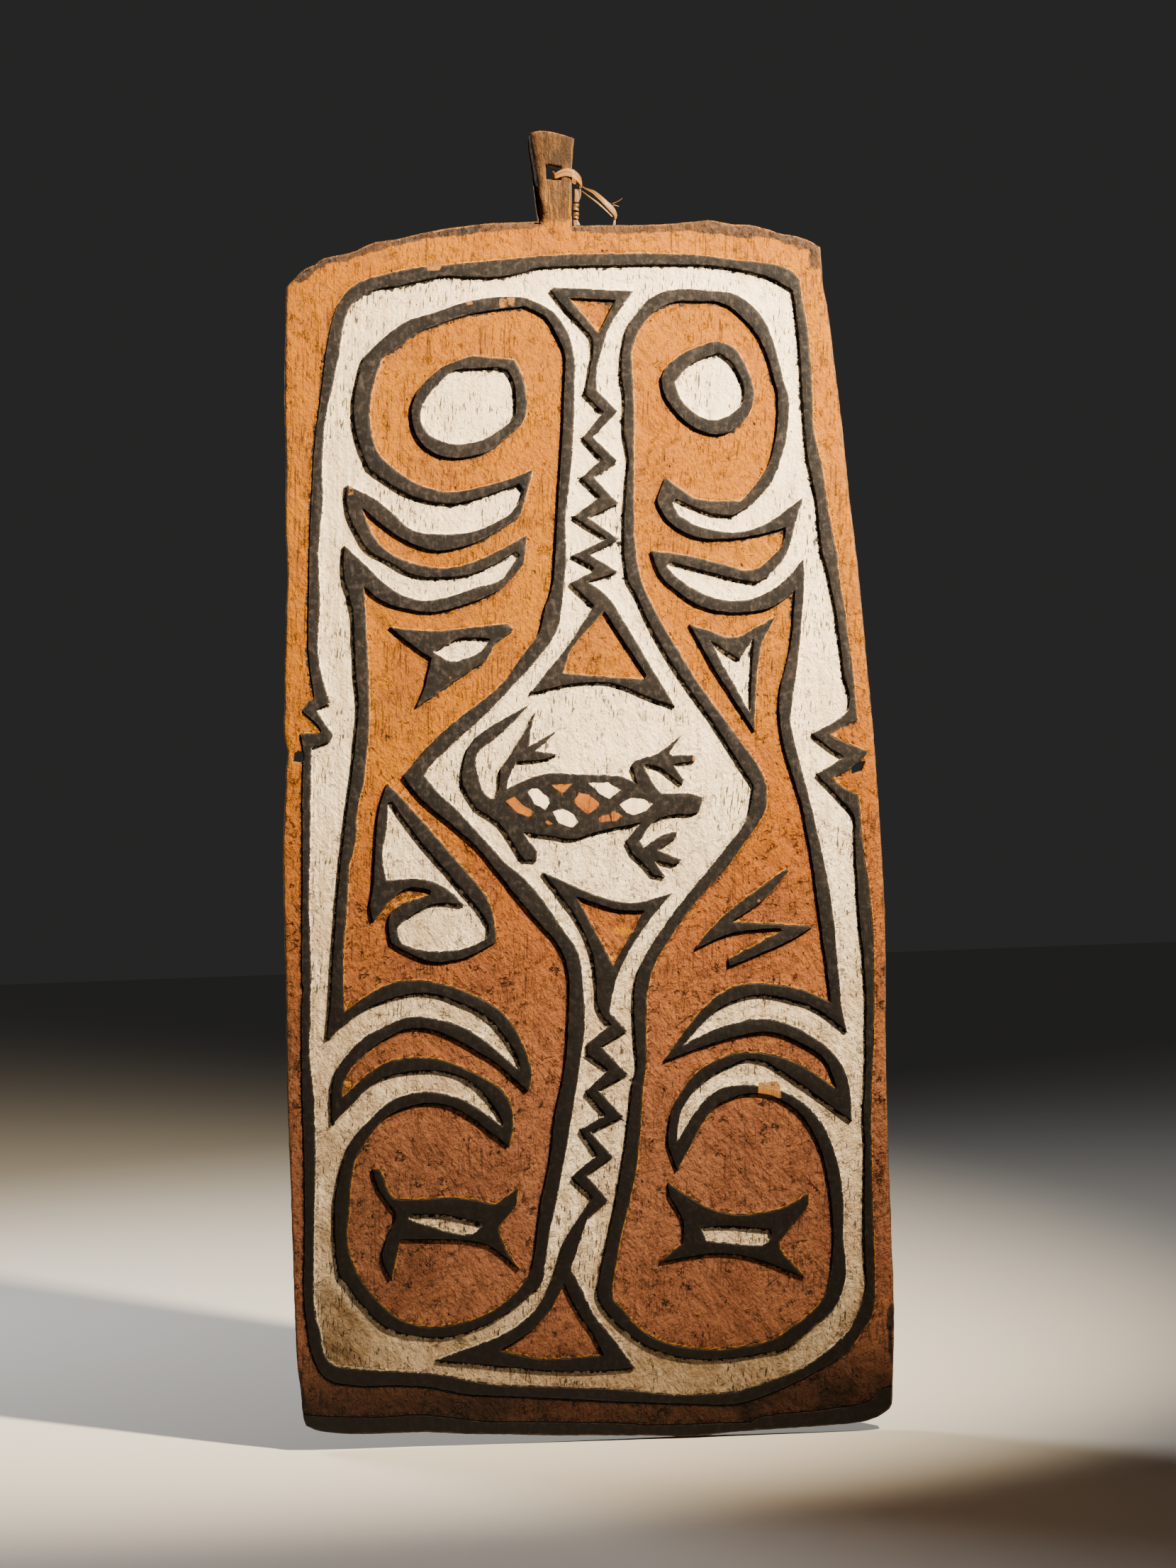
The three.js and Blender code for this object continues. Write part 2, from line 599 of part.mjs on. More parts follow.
// Turns every face of a mirrored geometry round again
function flipFaces(geometry) {
  const position = geometry.attributes.position;
  const first = new THREE.Vector3();
  const second = new THREE.Vector3();
  for (let i = 0; i < position.count; i += 3) {
    first.fromBufferAttribute(position, i + 1);
    second.fromBufferAttribute(position, i + 2);
    position.setXYZ(i + 1, second.x, second.y, second.z);
    position.setXYZ(i + 2, first.x, first.y, first.z);
  }
}

// The plank with everything carved out of it
function plank() {
  const cuts = [
    borderPocket(),
    pocket(
      ringInnerShares,
      [leftPanelOuterShares, rightPanelOuterShares, topStemShares, bottomStemShares, animalShares],
      WHITE_DEPTH,
    ),
    pocket(
      leftPanelInnerShares,
      [leftEyeOuterShares, leftMotifShares, hookShares, leftBowShares],
      ORANGE_DEPTH,
    ),
    pocket(
      rightPanelInnerShares,
      [rightEyeOuterShares, rightVeeShares, rightBoltShares, rightBowShares],
      ORANGE_DEPTH,
    ),
    ...[
      leftEyeInnerShares,
      rightEyeInnerShares,
      leftMotifSlotShares,
      rightVeePocketShares,
      hookPocketShares,
      leftBowSlotShares,
      rightBowSlotShares,
    ].map((table) => pocket(table, [], WHITE_DEPTH)),
    ...[smallTriangleShares, upTriangleShares, downTriangleShares, bottomTriangleShares].map(
      (table) => pocket(table, [], ORANGE_DEPTH),
    ),
    ...[tabHoleShares, leftHoleShares, rightHoleShares].map(throughHole),
    tabSlant(),
  ];
  const whole = solid(slab(outline(boardShares), [], 0, BOARD_THICKNESS));
  return geometryOf(cuts.reduce((body, cut) => body.subtract(cut), whole));
}

// Ribbon of cane along a path: flat inside, arched outside, with closed ends
function ribbon(path, outward, widths, thickness, closed) {
  const arch = [[-1, -1], [1, -1], [1, 0], [0.5, 1], [-0.5, 1], [-1, 0]];
  const corners = [];
  path.forEach((centre, i) => {
    const before = path[closed ? (i + path.length - 1) % path.length : Math.max(i - 1, 0)];
    const after = path[closed ? (i + 1) % path.length : Math.min(i + 1, path.length - 1)];
    const along = after.clone().sub(before).normalize();
    const out = outward(along);
    const side = out.clone().cross(along).normalize();
    arch.forEach(([across, lift]) => {
      corners.push(
        centre
          .clone()
          .addScaledVector(side, (across * widths[i]) / 2)
          .addScaledVector(out, (lift * thickness) / 2),
      );
    });
  });
  const faces = [];
  const size = arch.length;
  const spans = closed ? path.length : path.length - 1;
  for (let i = 0; i < spans; i++) {
    const next = (i + 1) % path.length;
    for (let j = 0; j < size; j++) {
      const k = (j + 1) % size;
      const a = i * size + j;
      const b = i * size + k;
      const c = next * size + k;
      const d = next * size + j;
      faces.push(a, b, c, a, c, d);
    }
  }
  if (!closed) {
    const last = (path.length - 1) * size;
    for (let j = 1; j < size - 1; j++) {
      faces.push(0, j + 1, j);
      faces.push(last, last + j, last + j + 1);
    }
  }
  const geometry = new THREE.BufferGeometry().setFromPoints(corners);
  geometry.setIndex(faces);
  geometry.computeVertexNormals();
  return geometry;
}

// Point on a cane path, between the tab's back and its front face
function canePoint(across, forward, up, clearance) {
  const flat = facePoint(across, up);
  const share = forward * THOUSANDTH;
  const depth = share * tabFront() + (2 * share - 1) * clearance;
  return new THREE.Vector3(flat.x, -depth, flat.y);
}

// Closed loop of cane through the hole and round the tab's right edge
function loopGeometry() {
  const clearance = CANE_GAP + LOOP_THICKNESS / 2;
  const stations = loopPathShares.map(([across, forward, up]) => canePoint(across, forward, up, clearance));
  const curve = new THREE.CatmullRomCurve3(stations, true, "centripetal");
  const path = curve.getPoints(2 * stations.length).slice(0, -1);
  const upright = new THREE.Vector3(0, 0, 1);
  const outward = (along) => upright.clone().cross(along).negate().normalize();
  const widths = path.map(() => LOOP_WIDTH);
  return ribbon(path, outward, widths, LOOP_THICKNESS, true);
}

// Loose strip that lies flat towards the front
function looseGeometry(table, thickness) {
  const path = table.map(([across, forward, up]) => canePoint(across, forward, up, 0));
  const widths = table.map((row) => row[3] * THOUSANDTH * LOOP_WIDTH);
  const forwards = new THREE.Vector3(0, -1, 0);
  const outward = (along) => forwards.clone().addScaledVector(along, -forwards.dot(along)).normalize();
  return ribbon(path, outward, widths, thickness, false);
}

// Bound piece of cane beside the tab, halfway through its thickness
function boundGeometry(table, depth) {
  const middle = tabFront() / 2;
  return slab(outline(table), [], middle - depth / 2, middle + depth / 2);
}

function named(name, geometry, look) {
  const mesh = new THREE.Mesh(geometry, new THREE.MeshStandardMaterial(look));
  mesh.name = name;
  return mesh;
}

const shield = new THREE.Group();
shield.add(named("plank", plank(), wood));

const lashing = new THREE.Group();
lashing.add(named("cane_loop", loopGeometry(), cane));
lashing.add(named("cane_bundle", boundGeometry(bundleShares, BINDING_DEPTH), cane));
lashing.add(named("cane_turn_upper", boundGeometry(upperTurnShares, BINDING_DEPTH), cane));
lashing.add(named("cane_turn_lower", boundGeometry(lowerTurnShares, BINDING_DEPTH), cane));
lashing.add(named("cane_flap", boundGeometry(flapShares, FLAP_DEPTH), cane));
lashing.add(named("cane_tail", looseGeometry(tailPathShares, TAIL_THICKNESS), cane));
lashing.add(named("cane_tail_split", looseGeometry(splitPathShares, SPLIT_THICKNESS), cane));
lashing.add(named("cane_strand", looseGeometry(strandPathShares, SPLIT_THICKNESS), darkCane));
lashing.add(named("cane_fibre_upper", looseGeometry(upperFibrePathShares, FIBRE_THICKNESS), cane));
lashing.add(named("cane_fibre_lower", looseGeometry(lowerFibrePathShares, FIBRE_THICKNESS), cane));
shield.add(lashing);

export default shield;
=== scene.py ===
import math

import bpy
import numpy as np
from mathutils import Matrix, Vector, geometry, noise
from mathutils.bvhtree import BVHTree


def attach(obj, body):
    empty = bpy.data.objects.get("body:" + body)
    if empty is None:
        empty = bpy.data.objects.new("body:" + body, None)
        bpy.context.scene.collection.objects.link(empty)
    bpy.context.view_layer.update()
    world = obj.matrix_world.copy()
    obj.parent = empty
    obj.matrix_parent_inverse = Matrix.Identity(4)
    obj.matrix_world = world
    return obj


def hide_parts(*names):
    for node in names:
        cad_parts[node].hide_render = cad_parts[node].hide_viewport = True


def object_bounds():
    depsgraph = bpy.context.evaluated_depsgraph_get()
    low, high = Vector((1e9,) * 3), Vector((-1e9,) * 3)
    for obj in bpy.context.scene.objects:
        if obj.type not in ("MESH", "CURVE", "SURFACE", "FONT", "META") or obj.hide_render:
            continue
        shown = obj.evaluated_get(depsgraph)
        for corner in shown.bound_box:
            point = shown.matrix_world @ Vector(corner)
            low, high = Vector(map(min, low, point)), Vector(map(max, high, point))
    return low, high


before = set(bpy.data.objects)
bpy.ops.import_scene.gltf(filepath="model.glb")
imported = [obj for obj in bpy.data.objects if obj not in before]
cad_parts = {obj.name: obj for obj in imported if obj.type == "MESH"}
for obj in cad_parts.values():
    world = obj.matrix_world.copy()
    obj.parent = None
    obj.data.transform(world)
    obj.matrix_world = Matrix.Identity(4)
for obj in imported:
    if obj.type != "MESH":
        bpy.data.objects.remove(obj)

cad_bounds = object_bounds()

# The view
# The shield is seen straight from the front. It leans a little to the left in
# the picture, so the camera is turned about its own line of sight.
PICTURE_HEIGHT = 1.6776
PICTURE_CENTRE = (0.0140, 0.0412)
VIEW_DISTANCE = 4.5
CARVED_FACE = -0.022
LEAN = math.radians(2.1)
SENSOR = 36.0

camera_data = bpy.data.cameras.new("front_camera")
camera_data.sensor_width = SENSOR
camera_data.lens = SENSOR * VIEW_DISTANCE / PICTURE_HEIGHT
camera = bpy.data.objects.new("front_camera", camera_data)
camera.location = (PICTURE_CENTRE[0], CARVED_FACE - VIEW_DISTANCE, PICTURE_CENTRE[1])
camera.rotation_euler = (math.pi / 2, LEAN, 0)
bpy.context.scene.collection.objects.link(camera)
bpy.context.scene.camera = camera


# Floor and light
# A pale floor just under the lowest point of the board. A lamp high on the
# right in front rakes across the carving, and weak lamps fill front and back.
FLOOR_DROP = 0.002
FLOOR_HALF = 12.0
FLOOR_COLOUR = (0.72, 0.71, 0.69, 1)
ROOM_COLOUR = (0.84, 0.83, 0.82, 1)
ROOM_STRENGTH = 0.03
KEY_PLACE = (1.30, -1.50, 1.50)
KEY_AIM = (0.10, 0.0, 0.48)
KEY_RADIUS = 0.06
KEY_CONE = math.radians(58)
KEY_EDGE = 1.0
KEY_WATTS = 1950.0
KEY_COLOUR = (1.0, 0.80, 0.53)
FILL_AIM = (0.0, 0.0, 0.0)
# Place, size in metres and watts of the weak lamps
FILL_LAMPS = (
    ("front_fill", (-1.6, -2.4, 0.6), 1.6, 0.6),
    ("back_fill", (-1.7, 1.7, 1.2), 1.0, 60.0),
)


def shader(tree, kind, inputs=(), **settings):
    """A node of this kind with its settings, and its inputs filled or linked."""
    made = tree.nodes.new("ShaderNode" + kind)
    for name, value in settings.items():
        setattr(made, name, value)
    for place, value in dict(inputs).items():
        socket = made.inputs[place]
        if isinstance(value, bpy.types.NodeSocket):
            tree.links.new(value, socket)
        else:
            socket.default_value = value
    return made


def new_material(name, colour, roughness):
    """An opaque material with one shader, and that shader's node."""
    material = bpy.data.materials.new(name)
    material.use_nodes = True
    surface = material.node_tree.nodes["Principled BSDF"]
    surface.inputs["Base Color"].default_value = colour
    surface.inputs["Roughness"].default_value = roughness
    return material, surface


def new_lamp(name, kind, spot, target, watts, tint):
    """A lamp that shines at the target and isn't seen itself."""
    data = bpy.data.lights.new(name, kind)
    data.energy = watts
    data.color = tint
    lamp = bpy.data.objects.new(name, data)
    lamp.location = spot
    lamp.rotation_euler = (lamp.location - Vector(target)).to_track_quat("Z", "Y").to_euler()
    lamp.visible_camera = False
    bpy.context.scene.collection.objects.link(lamp)
    return data


floor_mesh = bpy.data.meshes.new("floor")
floor_height = cad_bounds[0][2] - FLOOR_DROP
floor_mesh.from_pydata(
    [(x * FLOOR_HALF, y * FLOOR_HALF, floor_height) for x, y in ((-1, -1), (1, -1), (1, 1), (-1, 1))],
    [],
    [(0, 1, 2, 3)],
)
floor = bpy.data.objects.new("floor", floor_mesh)
bpy.context.scene.collection.objects.link(floor)
floor_material, floor_surface = new_material("pale_floor", FLOOR_COLOUR, 0.8)
floor_tree = floor_material.node_tree
floor_grain = shader(floor_tree, "TexNoise", {"Scale": 90.0, "Detail": 4.0})
floor_bump = shader(floor_tree, "Bump", {"Strength": 0.05, "Height": floor_grain.outputs[0]})
floor_tree.links.new(floor_bump.outputs[0], floor_surface.inputs["Normal"])
floor_mesh.materials.append(floor_material)

room = bpy.data.worlds.new("room")
room.use_nodes = True
room.node_tree.nodes["Background"].inputs[0].default_value = ROOM_COLOUR
room.node_tree.nodes["Background"].inputs[1].default_value = ROOM_STRENGTH
bpy.context.scene.world = room
key = new_lamp("key_lamp", "SPOT", KEY_PLACE, KEY_AIM, KEY_WATTS, KEY_COLOUR)
key.shadow_soft_size = KEY_RADIUS
key.spot_size = KEY_CONE
key.spot_blend = KEY_EDGE
for lamp_name, lamp_place, lamp_size, lamp_watts in FILL_LAMPS:
    weak = new_lamp(lamp_name, "AREA", lamp_place, FILL_AIM, lamp_watts, (1.0, 0.97, 0.93))
    weak.shape = "DISK"
    weak.size = lamp_size


# The plank
# One board of light wood, hewn with an adze and carved on its front: the
# grounds were cut down round the bands, and the hand left the edges uneven.
# All lengths here are in millimetres, and depths are measured from the bands.
MM = 0.001
BOARD_WIDTH = 645.0
BODY_HEIGHT = 1290.0
THICKNESS = 22.0
BAND_LEVEL, BORDER_LEVEL, WHITE_LEVEL, ORANGE_LEVEL = 0.0, 2.0, 5.0, 4.5
TAB_FACE = THICKNESS - BORDER_LEVEL
OUTLINE_STEP = 4.0
RIM_STEP = 4.2
FRONT_STEP = 7.0
BACK_STEP = 13.0
CORNER_TURN = math.radians(30)
# Distance from the cut line and share of the depth reached there
CUT_ROWS = ((-1.5, 0.0), (-0.5, 0.03), (0.0, 0.14), (0.55, 0.84), (1.4, 1.0))
# Distance in from the rim and how far the wood is rounded down there
RIM_ROWS = ((0.0, 2.4), (0.6, 1.1), (1.5, 0.35), (3.2, 0.0))
HOLE_ROWS = ((0.0, 1.6), (0.9, 0.4), (2.2, 0.0))
BACK_ROWS = ((0.0, 1.8), (1.0, 0.5), (2.8, 0.0))
SIDE_ROWS = (0.2, 0.4, 0.6, 0.8)
HEWN_FRONT = 0.55
HEWN_BAND = 0.18
HAND_WOBBLE = 0.45
HEWN_BACK = 0.9
HEWN_SIDE = 0.5
SIDE_BULGE = 0.5
# Share of a triangle's normal that has to point forward or back
FACING = 0.9
LEVEL_TOLERANCE = 0.5
# What is cut deeper than this goes right through: a hole or the board's own side
THROUGH_DEPTH = 17.0
# The band along the foot runs out over the rim, so the cut above it is closed below the board
PAST_RIM = 1.1
BELOW_BOARD = ((600, -60), (-600, -60))
MARK_STEP = 3.0
# Loose points inside the outlines: row spacing and jitter in steps, and room to the lines
ROW_SPACING = 0.87
JITTER = 0.22
FRONT_ROOM = 5.0
BACK_ROOM = 4.0


def on_face(across, up):
    """Place on the face in millimetres from thousandths of the board's size."""
    return (across * 0.001 * BOARD_WIDTH, (up * 0.001 - 0.5) * BODY_HEIGHT)


def welded(node):
    """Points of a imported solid, each once, in millimetres, and its triangles."""
    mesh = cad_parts[node].data
    loose = np.array([v.co for v in mesh.vertices], np.float32)
    mesh.calc_loop_triangles()
    triangles = np.array([t.vertices for t in mesh.loop_triangles])
    points, place = np.unique(loose, axis=0, return_inverse=True)
    return points.astype(float) / MM, place.reshape(-1)[triangles]


def follow(edges):
    """Chains of points that directed edges form, closed ones first."""
    onward = dict(edges)
    starts = set(onward) - set(onward.values())
    chains = []
    for closed in (False, True):
        pool = sorted(onward) if closed else sorted(starts)
        for start in pool:
            if start not in onward:
                continue
            chain = [start]
            while chain[-1] in onward:
                chain.append(onward.pop(chain[-1]))
            chains.append((chain[:-1], True) if closed else (chain, False))
    return chains


def smooth_line(line, closed, step):
    """Curve through a line's points, stepped evenly and sharp at its corners."""
    line = np.asarray(line, float)
    count = len(line)
    ahead = np.roll(line, -1, axis=0) - line
    length = np.linalg.norm(ahead, axis=1)
    ahead = ahead / np.maximum(length, 1e-9)[:, None]
    behind = np.roll(ahead, 1, axis=0)
    turn = np.arccos(np.clip((ahead * behind).sum(1), -1, 1))
    corner = turn > CORNER_TURN
    if not closed:
        corner[0] = corner[-1] = True
    weight = length / np.maximum(length + np.roll(length, 1), 1e-9)
    heading = ahead * (1 - weight)[:, None] + behind * weight[:, None]
    heading /= np.maximum(np.linalg.norm(heading, axis=1), 1e-9)[:, None]
    traced = []
    for i in range(count if closed else count - 1):
        j = (i + 1) % count
        first = ahead[i] if corner[i] else heading[i]
        second = ahead[i] if corner[j] else heading[j]
        for t in np.arange(max(1, round(length[i] / step))) / max(1, round(length[i] / step)):
            a, b = 2 * t**3 - 3 * t**2 + 1, t**3 - 2 * t**2 + t
            c, d = -2 * t**3 + 3 * t**2, t**3 - t**2
            traced.append(a * line[i] + b * length[i] * first + c * line[j] + d * length[i] * second)
    if not closed:
        traced.append(line[-1])
    return np.array(traced)


def shifted(line, closed, offset):
    """The line moved sideways, to its right as it runs."""
    ahead = np.roll(line, -1, axis=0) - line
    if not closed:
        ahead[-1] = ahead[-2]
    ahead /= np.maximum(np.linalg.norm(ahead, axis=1), 1e-9)[:, None]
    behind = np.roll(ahead, 1, axis=0)
    if not closed:
        behind[0] = ahead[0]
    mean = ahead + behind
    mean /= np.maximum(np.linalg.norm(mean, axis=1), 1e-9)[:, None]
    stretch = 1 / np.maximum((mean * ahead).sum(1), 0.65)
    right = np.stack([mean[:, 1], -mean[:, 0]], axis=1)
    return line + right * (offset * stretch)[:, None]


def area(points):
    x, z = np.asarray(points).T
    return 0.5 * float(np.sum(x * np.roll(z, -1) - z * np.roll(x, -1)))


class Sketch:
    """Flat drawing of points, lines and regions that is then filled with triangles."""

    def __init__(self):
        self.spots, self.lines, self.regions = [], [], []

    def line(self, points, closed):
        start = len(self.spots)
        self.spots.extend(Vector(p) for p in points)
        places = list(range(start, len(self.spots)))
        self.lines.extend(zip(places, places[1:]))
        if closed:
            self.lines.append((places[-1], places[0]))
        return places

    def region(self, points):
        start = len(self.spots)
        self.spots.extend(Vector(p) for p in (points if area(points) > 0 else points[::-1]))
        self.regions.append(list(range(start, len(self.spots))))
        return len(self.regions) - 1

    def fill(self):
        spots, _, faces, _, _, owners = geometry.delaunay_2d_cdt(
            self.spots, self.lines, self.regions, 0, 1e-5, True
        )
        return np.array([tuple(s) for s in spots]), [tuple(f) for f in faces], owners


def only_used(spots, faces):
    """The points that faces use, and the faces with those points' new numbers."""
    used = np.unique(faces)
    renumber = np.full(len(spots), -1)
    renumber[used] = np.arange(len(used))
    return spots[used], renumber[faces]


class Nearest:
    """Distance in the plane from a point to the closest of many drawn lines."""

    def __init__(self, lines):
        corners, walls, self.tags = [], [], []
        for points, closed, tag in lines:
            count = len(points)
            for i in range(count if closed else count - 1):
                (ax, az), (bx, bz) = points[i], points[(i + 1) % count]
                base = len(corners)
                corners += [(ax, -1, az), (bx, -1, bz), (bx, 1, bz), (ax, 1, az)]
                walls.append((base, base + 1, base + 2, base + 3))
                self.tags.append(tag)
        self.tree = BVHTree.FromPolygons(corners, walls)

    def to(self, points):
        found = [self.tree.find_nearest((x, 0, z)) for x, z in points]
        foot = np.array([(f[0].x, f[0].z) for f in found])
        return np.array([f[3] for f in found]), [self.tags[f[2]] for f in found], foot


def depth_inside(points, polygon):
    """Distance of each point to a polygon's edge, positive inside it."""
    x, z = points.T
    closest = np.full(len(points), 1e9)
    inside = np.zeros(len(points), bool)
    for (ax, az), (bx, bz) in zip(polygon, polygon[1:] + polygon[:1]):
        dx, dz = bx - ax, bz - az
        t = np.clip(((x - ax) * dx + (z - az) * dz) / max(dx * dx + dz * dz, 1e-12), 0, 1)
        closest = np.minimum(closest, np.hypot(x - ax - t * dx, z - az - t * dz))
        crosses = (az > z) != (bz > z)
        inside ^= crosses & (x < (z - az) / (dz if dz else 1e-12) * dx + ax)
    return np.where(inside, closest, -closest)


def rough(points, size, stretch, seed):
    """Smooth random height from -1 to 1, drawn out along the grain."""
    offset = Vector((seed * 17.3, seed * 5.1, seed * 11.7))
    return np.array(
        [noise.noise(Vector((x / size, z / (size * stretch), 0)) + offset) for x, z in points]
    )


plank_points, plank_faces = welded("plank")
corner_a, corner_b, corner_c = (plank_points[plank_faces[:, k]] for k in range(3))
plank_normals = np.cross(corner_b - corner_a, corner_c - corner_a)
plank_normals /= np.maximum(np.linalg.norm(plank_normals, axis=1), 1e-12)[:, None]
face_depth = THICKNESS + plank_points[plank_faces][:, :, 1].mean(axis=1)
is_front = plank_normals[:, 1] < -FACING
is_band = is_front & (face_depth < LEVEL_TOLERANCE)
is_back = plank_normals[:, 1] > FACING

edge_owner = {}
for number, face in enumerate(plank_faces):
    for k in range(3):
        edge_owner[(face[k], face[(k + 1) % 3])] = number

# Lines where the knife cut down from the bands, each with the depth below it
cut_edges, cut_depth = {}, {}
for (start, end), owner in edge_owner.items():
    other = edge_owner[(end, start)]
    if is_band[owner] and not is_band[other]:
        foot = THICKNESS + plank_points[plank_faces[other]][:, 1].max()
        if foot < THROUGH_DEPTH:
            cut_edges[start] = end
            cut_depth[start] = foot
cut_lines = []
for chain, closed in follow(cut_edges):
    depths = [cut_depth[i] for i in chain if i in cut_depth]
    depth = float(np.median(depths))
    line = smooth_line(plank_points[chain][:, [0, 2]], closed, OUTLINE_STEP)
    cut_lines.append((line, closed, depth))

# Rim of the board and of its three holes, seen from the front
rim_edges = {}
for (start, end), owner in edge_owner.items():
    if is_back[owner] and not is_back[edge_owner[(end, start)]]:
        rim_edges[end] = start
rims = [smooth_line(plank_points[chain][:, [0, 2]], True, RIM_STEP) for chain, _ in follow(rim_edges)]
rims.sort(key=lambda line: -abs(area(line)))
board_rim, hole_rims = rims[0], rims[1:]
if area(board_rim) < 0:
    board_rim = board_rim[::-1]
hole_rims = [line[::-1] if area(line) > 0 else line for line in hole_rims]


# The tab's left side was trimmed on a slant, from its foot to its top corner
TAB_FOOT_AND_CORNER = ((-24.0, 1000.0), (-38.0, 1070.0))
TAB_SLANT = 3.0
TAB_BACK_LIP = 3.0
# Direction away from the lamp, along which the painted shadows of the cut walls fall
SHADOW_DIRECTION = (-0.60, -0.80)

# Marks painted on the animal's body, places where paint is worn or added, and other dark marks
WHITE_MARKS = (
    ((-80.6, 529), (-62, 529.5), (-40.6, 519.5), (-51, 512), (-68, 517)),
    ((23, 532.5), (56, 532.5), (75, 526), (56, 519), (42, 523)),
    ((73.5, 514), (91, 519), (112, 517.5), (127.5, 513.5), (117, 508), (96, 504.7), (84, 507)),
    ((-38, 509.5), (-24, 512.5), (-5, 507.5), (3, 500.5), (-7.5, 496), (-29, 500.5)),
)
ORANGE_MARKS = (
    ((-39, 532.5), (-4, 532.5), (-22, 524)),
    ((-102, 524), (-115, 520), (-99, 511), (-78, 506), (-64, 509), (-90, 517.5)),
    ((6.5, 525), (-4, 517.5), (18, 506.5), (43, 514), (23, 523)),
    ((30, 500), (42, 505), (65, 509), (76, 504), (67.5, 500.5)),
    ((-57, 502), (-47.5, 503), (-38, 500), (-45, 499.5)),
)
BARE_MARKS = (
    ((-213, 962), (-190, 962), (-190, 971), (-213, 971)),
    ((-95, 929), (-70, 931), (-70, 938), (-95, 937)),
    ((-152, 932), (-140, 933), (-140, 937), (-152, 936)),
    ((284, 264.5), (323, 266), (321, 280.5), (286, 278.5)),
    ((294, 429), (300, 429), (299, 432.5), (295, 432)),
    ((-202, 623), (-196, 623), (-197, 625.5), (-201, 625)),
    ((-358, 779), (-349, 779), (-350, 787), (-356, 786)),
    ((196, 547), (202, 548), (201, 552), (196, 551)),
    ((-475, 558), (-450, 558.5), (-450, 563), (-475, 563)),
)
DARK_MARKS = (
    ((-455, 968), (-300, 1010), (-15, 1010), (-15, 995), (-100, 993), (-170, 990), (-220, 988), (-260, 984),
     (-300, 979), (-340, 974), (-380, 970), (-405, 963), (-425, 955), (-440, 958), (-446, 950), (-447, 940),
     (-452, 900), (-457, 850), (-475, 850), (-470, 950)),
    ((25, 1010), (25, 997), (30, 992), (50, 989), (100, 987), (200, 987), (250, 986), (280, 983), (300, 980),
     (320, 980), (340, 981), (360, 979), (380, 974), (400, 970), (420, 968), (437, 952), (460, 960),
     (420, 985), (300, 1005)),
    ((420, 952), (437, 952), (436, 968), (421, 968)),
    ((-510, 10), (-484, 16), (-486, 36), (-488, 53), (-510, 56)),
    ((485, 70), (487, 91), (515, 95), (515, 60), (492, 40), (486, 52)),
    ((490, 341), (495, 342), (502, 345), (499, 341.5), (505, 340), (497, 340)),
    # A dark mark on the board's top edge, just below the cane flap
    ((32, 990.5), (43, 990.8), (42, 994.4), (33, 994)),
    ((0, 1045), (14, 1049), (15, 1062), (6, 1059), (-2, 1052)),
)
# The last three dark marks are small, so the mesh follows their outlines
SMALL_DARK_MARKS = DARK_MARKS[-3:]
STAIN_MARKS = (((-456, 116), (-440, 124), (-405, 104), (-372, 84), (-385, 58), (-440, 56), (-458, 78)),)
SMOKE_MARKS = (
    ((-40, 1003), (-22, 1003), (-20, 1028), (-14, 1046), (-18, 1070), (-42, 1072)),
    ((13, 1000), (26, 1000), (27, 1038), (15, 1038)),
    ((-8, 1046), (14, 1042), (20, 1054), (8, 1066), (-6, 1062)),
)
OCHRE_MARKS = (((52, 408), (60, 413.5), (78, 412), (91, 408.5), (80, 406), (62, 406.5)),)
TAB_PATCH = (
    (-60, 1003), (-24, 1001.5), (-12, 999.5), (0, 999), (12, 997), (22, 998.5), (34, 999), (60, 1001),
    (60, 1090), (-60, 1090),
)


def marks_on_face(marks):
    return [[on_face(*spot) for spot in mark] for mark in marks]


def inside_any(points, outlines):
    """Greatest distance inside any of the outlines, in millimetres."""
    return np.max([depth_inside(points, outline) for outline in outlines], axis=0)


# The front is drawn flat: rim, holes, cuts with their shoulders, and marks
front = Sketch()
board_region = front.region(board_rim)
hole_regions = [front.region(line) for line in hole_rims]
inside_level, region_size = {board_region: BORDER_LEVEL}, {board_region: abs(area(board_rim))}
for line, closed, depth in cut_lines:
    outline = line
    if not closed:
        below = [on_face(*corner) for corner in BELOW_BOARD]
        outline = np.vstack([line, [line[-1] * PAST_RIM], *below, [line[0] * PAST_RIM]])
    number = front.region(outline)
    region_size[number] = abs(area(outline))
    inside_level[number] = BAND_LEVEL if (area(line) > 0 or not closed) else depth
    for offset, _ in CUT_ROWS:
        if offset:
            front.line(shifted(line, closed, offset), closed)
for offset, _ in RIM_ROWS[1:]:
    front.line(shifted(board_rim, True, -offset), True)
for line in hole_rims:
    for offset, _ in HOLE_ROWS[1:]:
        front.line(shifted(line, True, -offset), True)
for marks in (WHITE_MARKS, ORANGE_MARKS, BARE_MARKS, SMALL_DARK_MARKS, OCHRE_MARKS):
    for outline in marks_on_face(marks):
        front.line(smooth_line(outline, True, MARK_STEP), True)

near_cut = Nearest([(line, closed, depth) for line, closed, depth in cut_lines])
near_rim = Nearest([(board_rim, True, 0)] + [(line, True, 1 + i) for i, line in enumerate(hole_rims)])


def scattered(step, room, off_cuts, seed):
    """Jittered points over the board that keep clear of its rims, and of its cuts if asked."""
    low, high = board_rim.min(axis=0), board_rim.max(axis=0)
    chance = np.random.default_rng(seed)
    rows = np.arange(low[1], high[1], step * ROW_SPACING)
    spots = []
    for number, height in enumerate(rows):
        across = np.arange(low[0] + (number % 2) * step / 2, high[0], step)
        spots.append(np.stack([across, np.full(len(across), height)], axis=1))
    spots = np.vstack(spots)
    spots += chance.uniform(-JITTER, JITTER, spots.shape) * step
    apart = near_rim.to(spots)[0]
    if off_cuts:
        apart = np.minimum(apart, near_cut.to(spots)[0])
    return spots[apart > room]


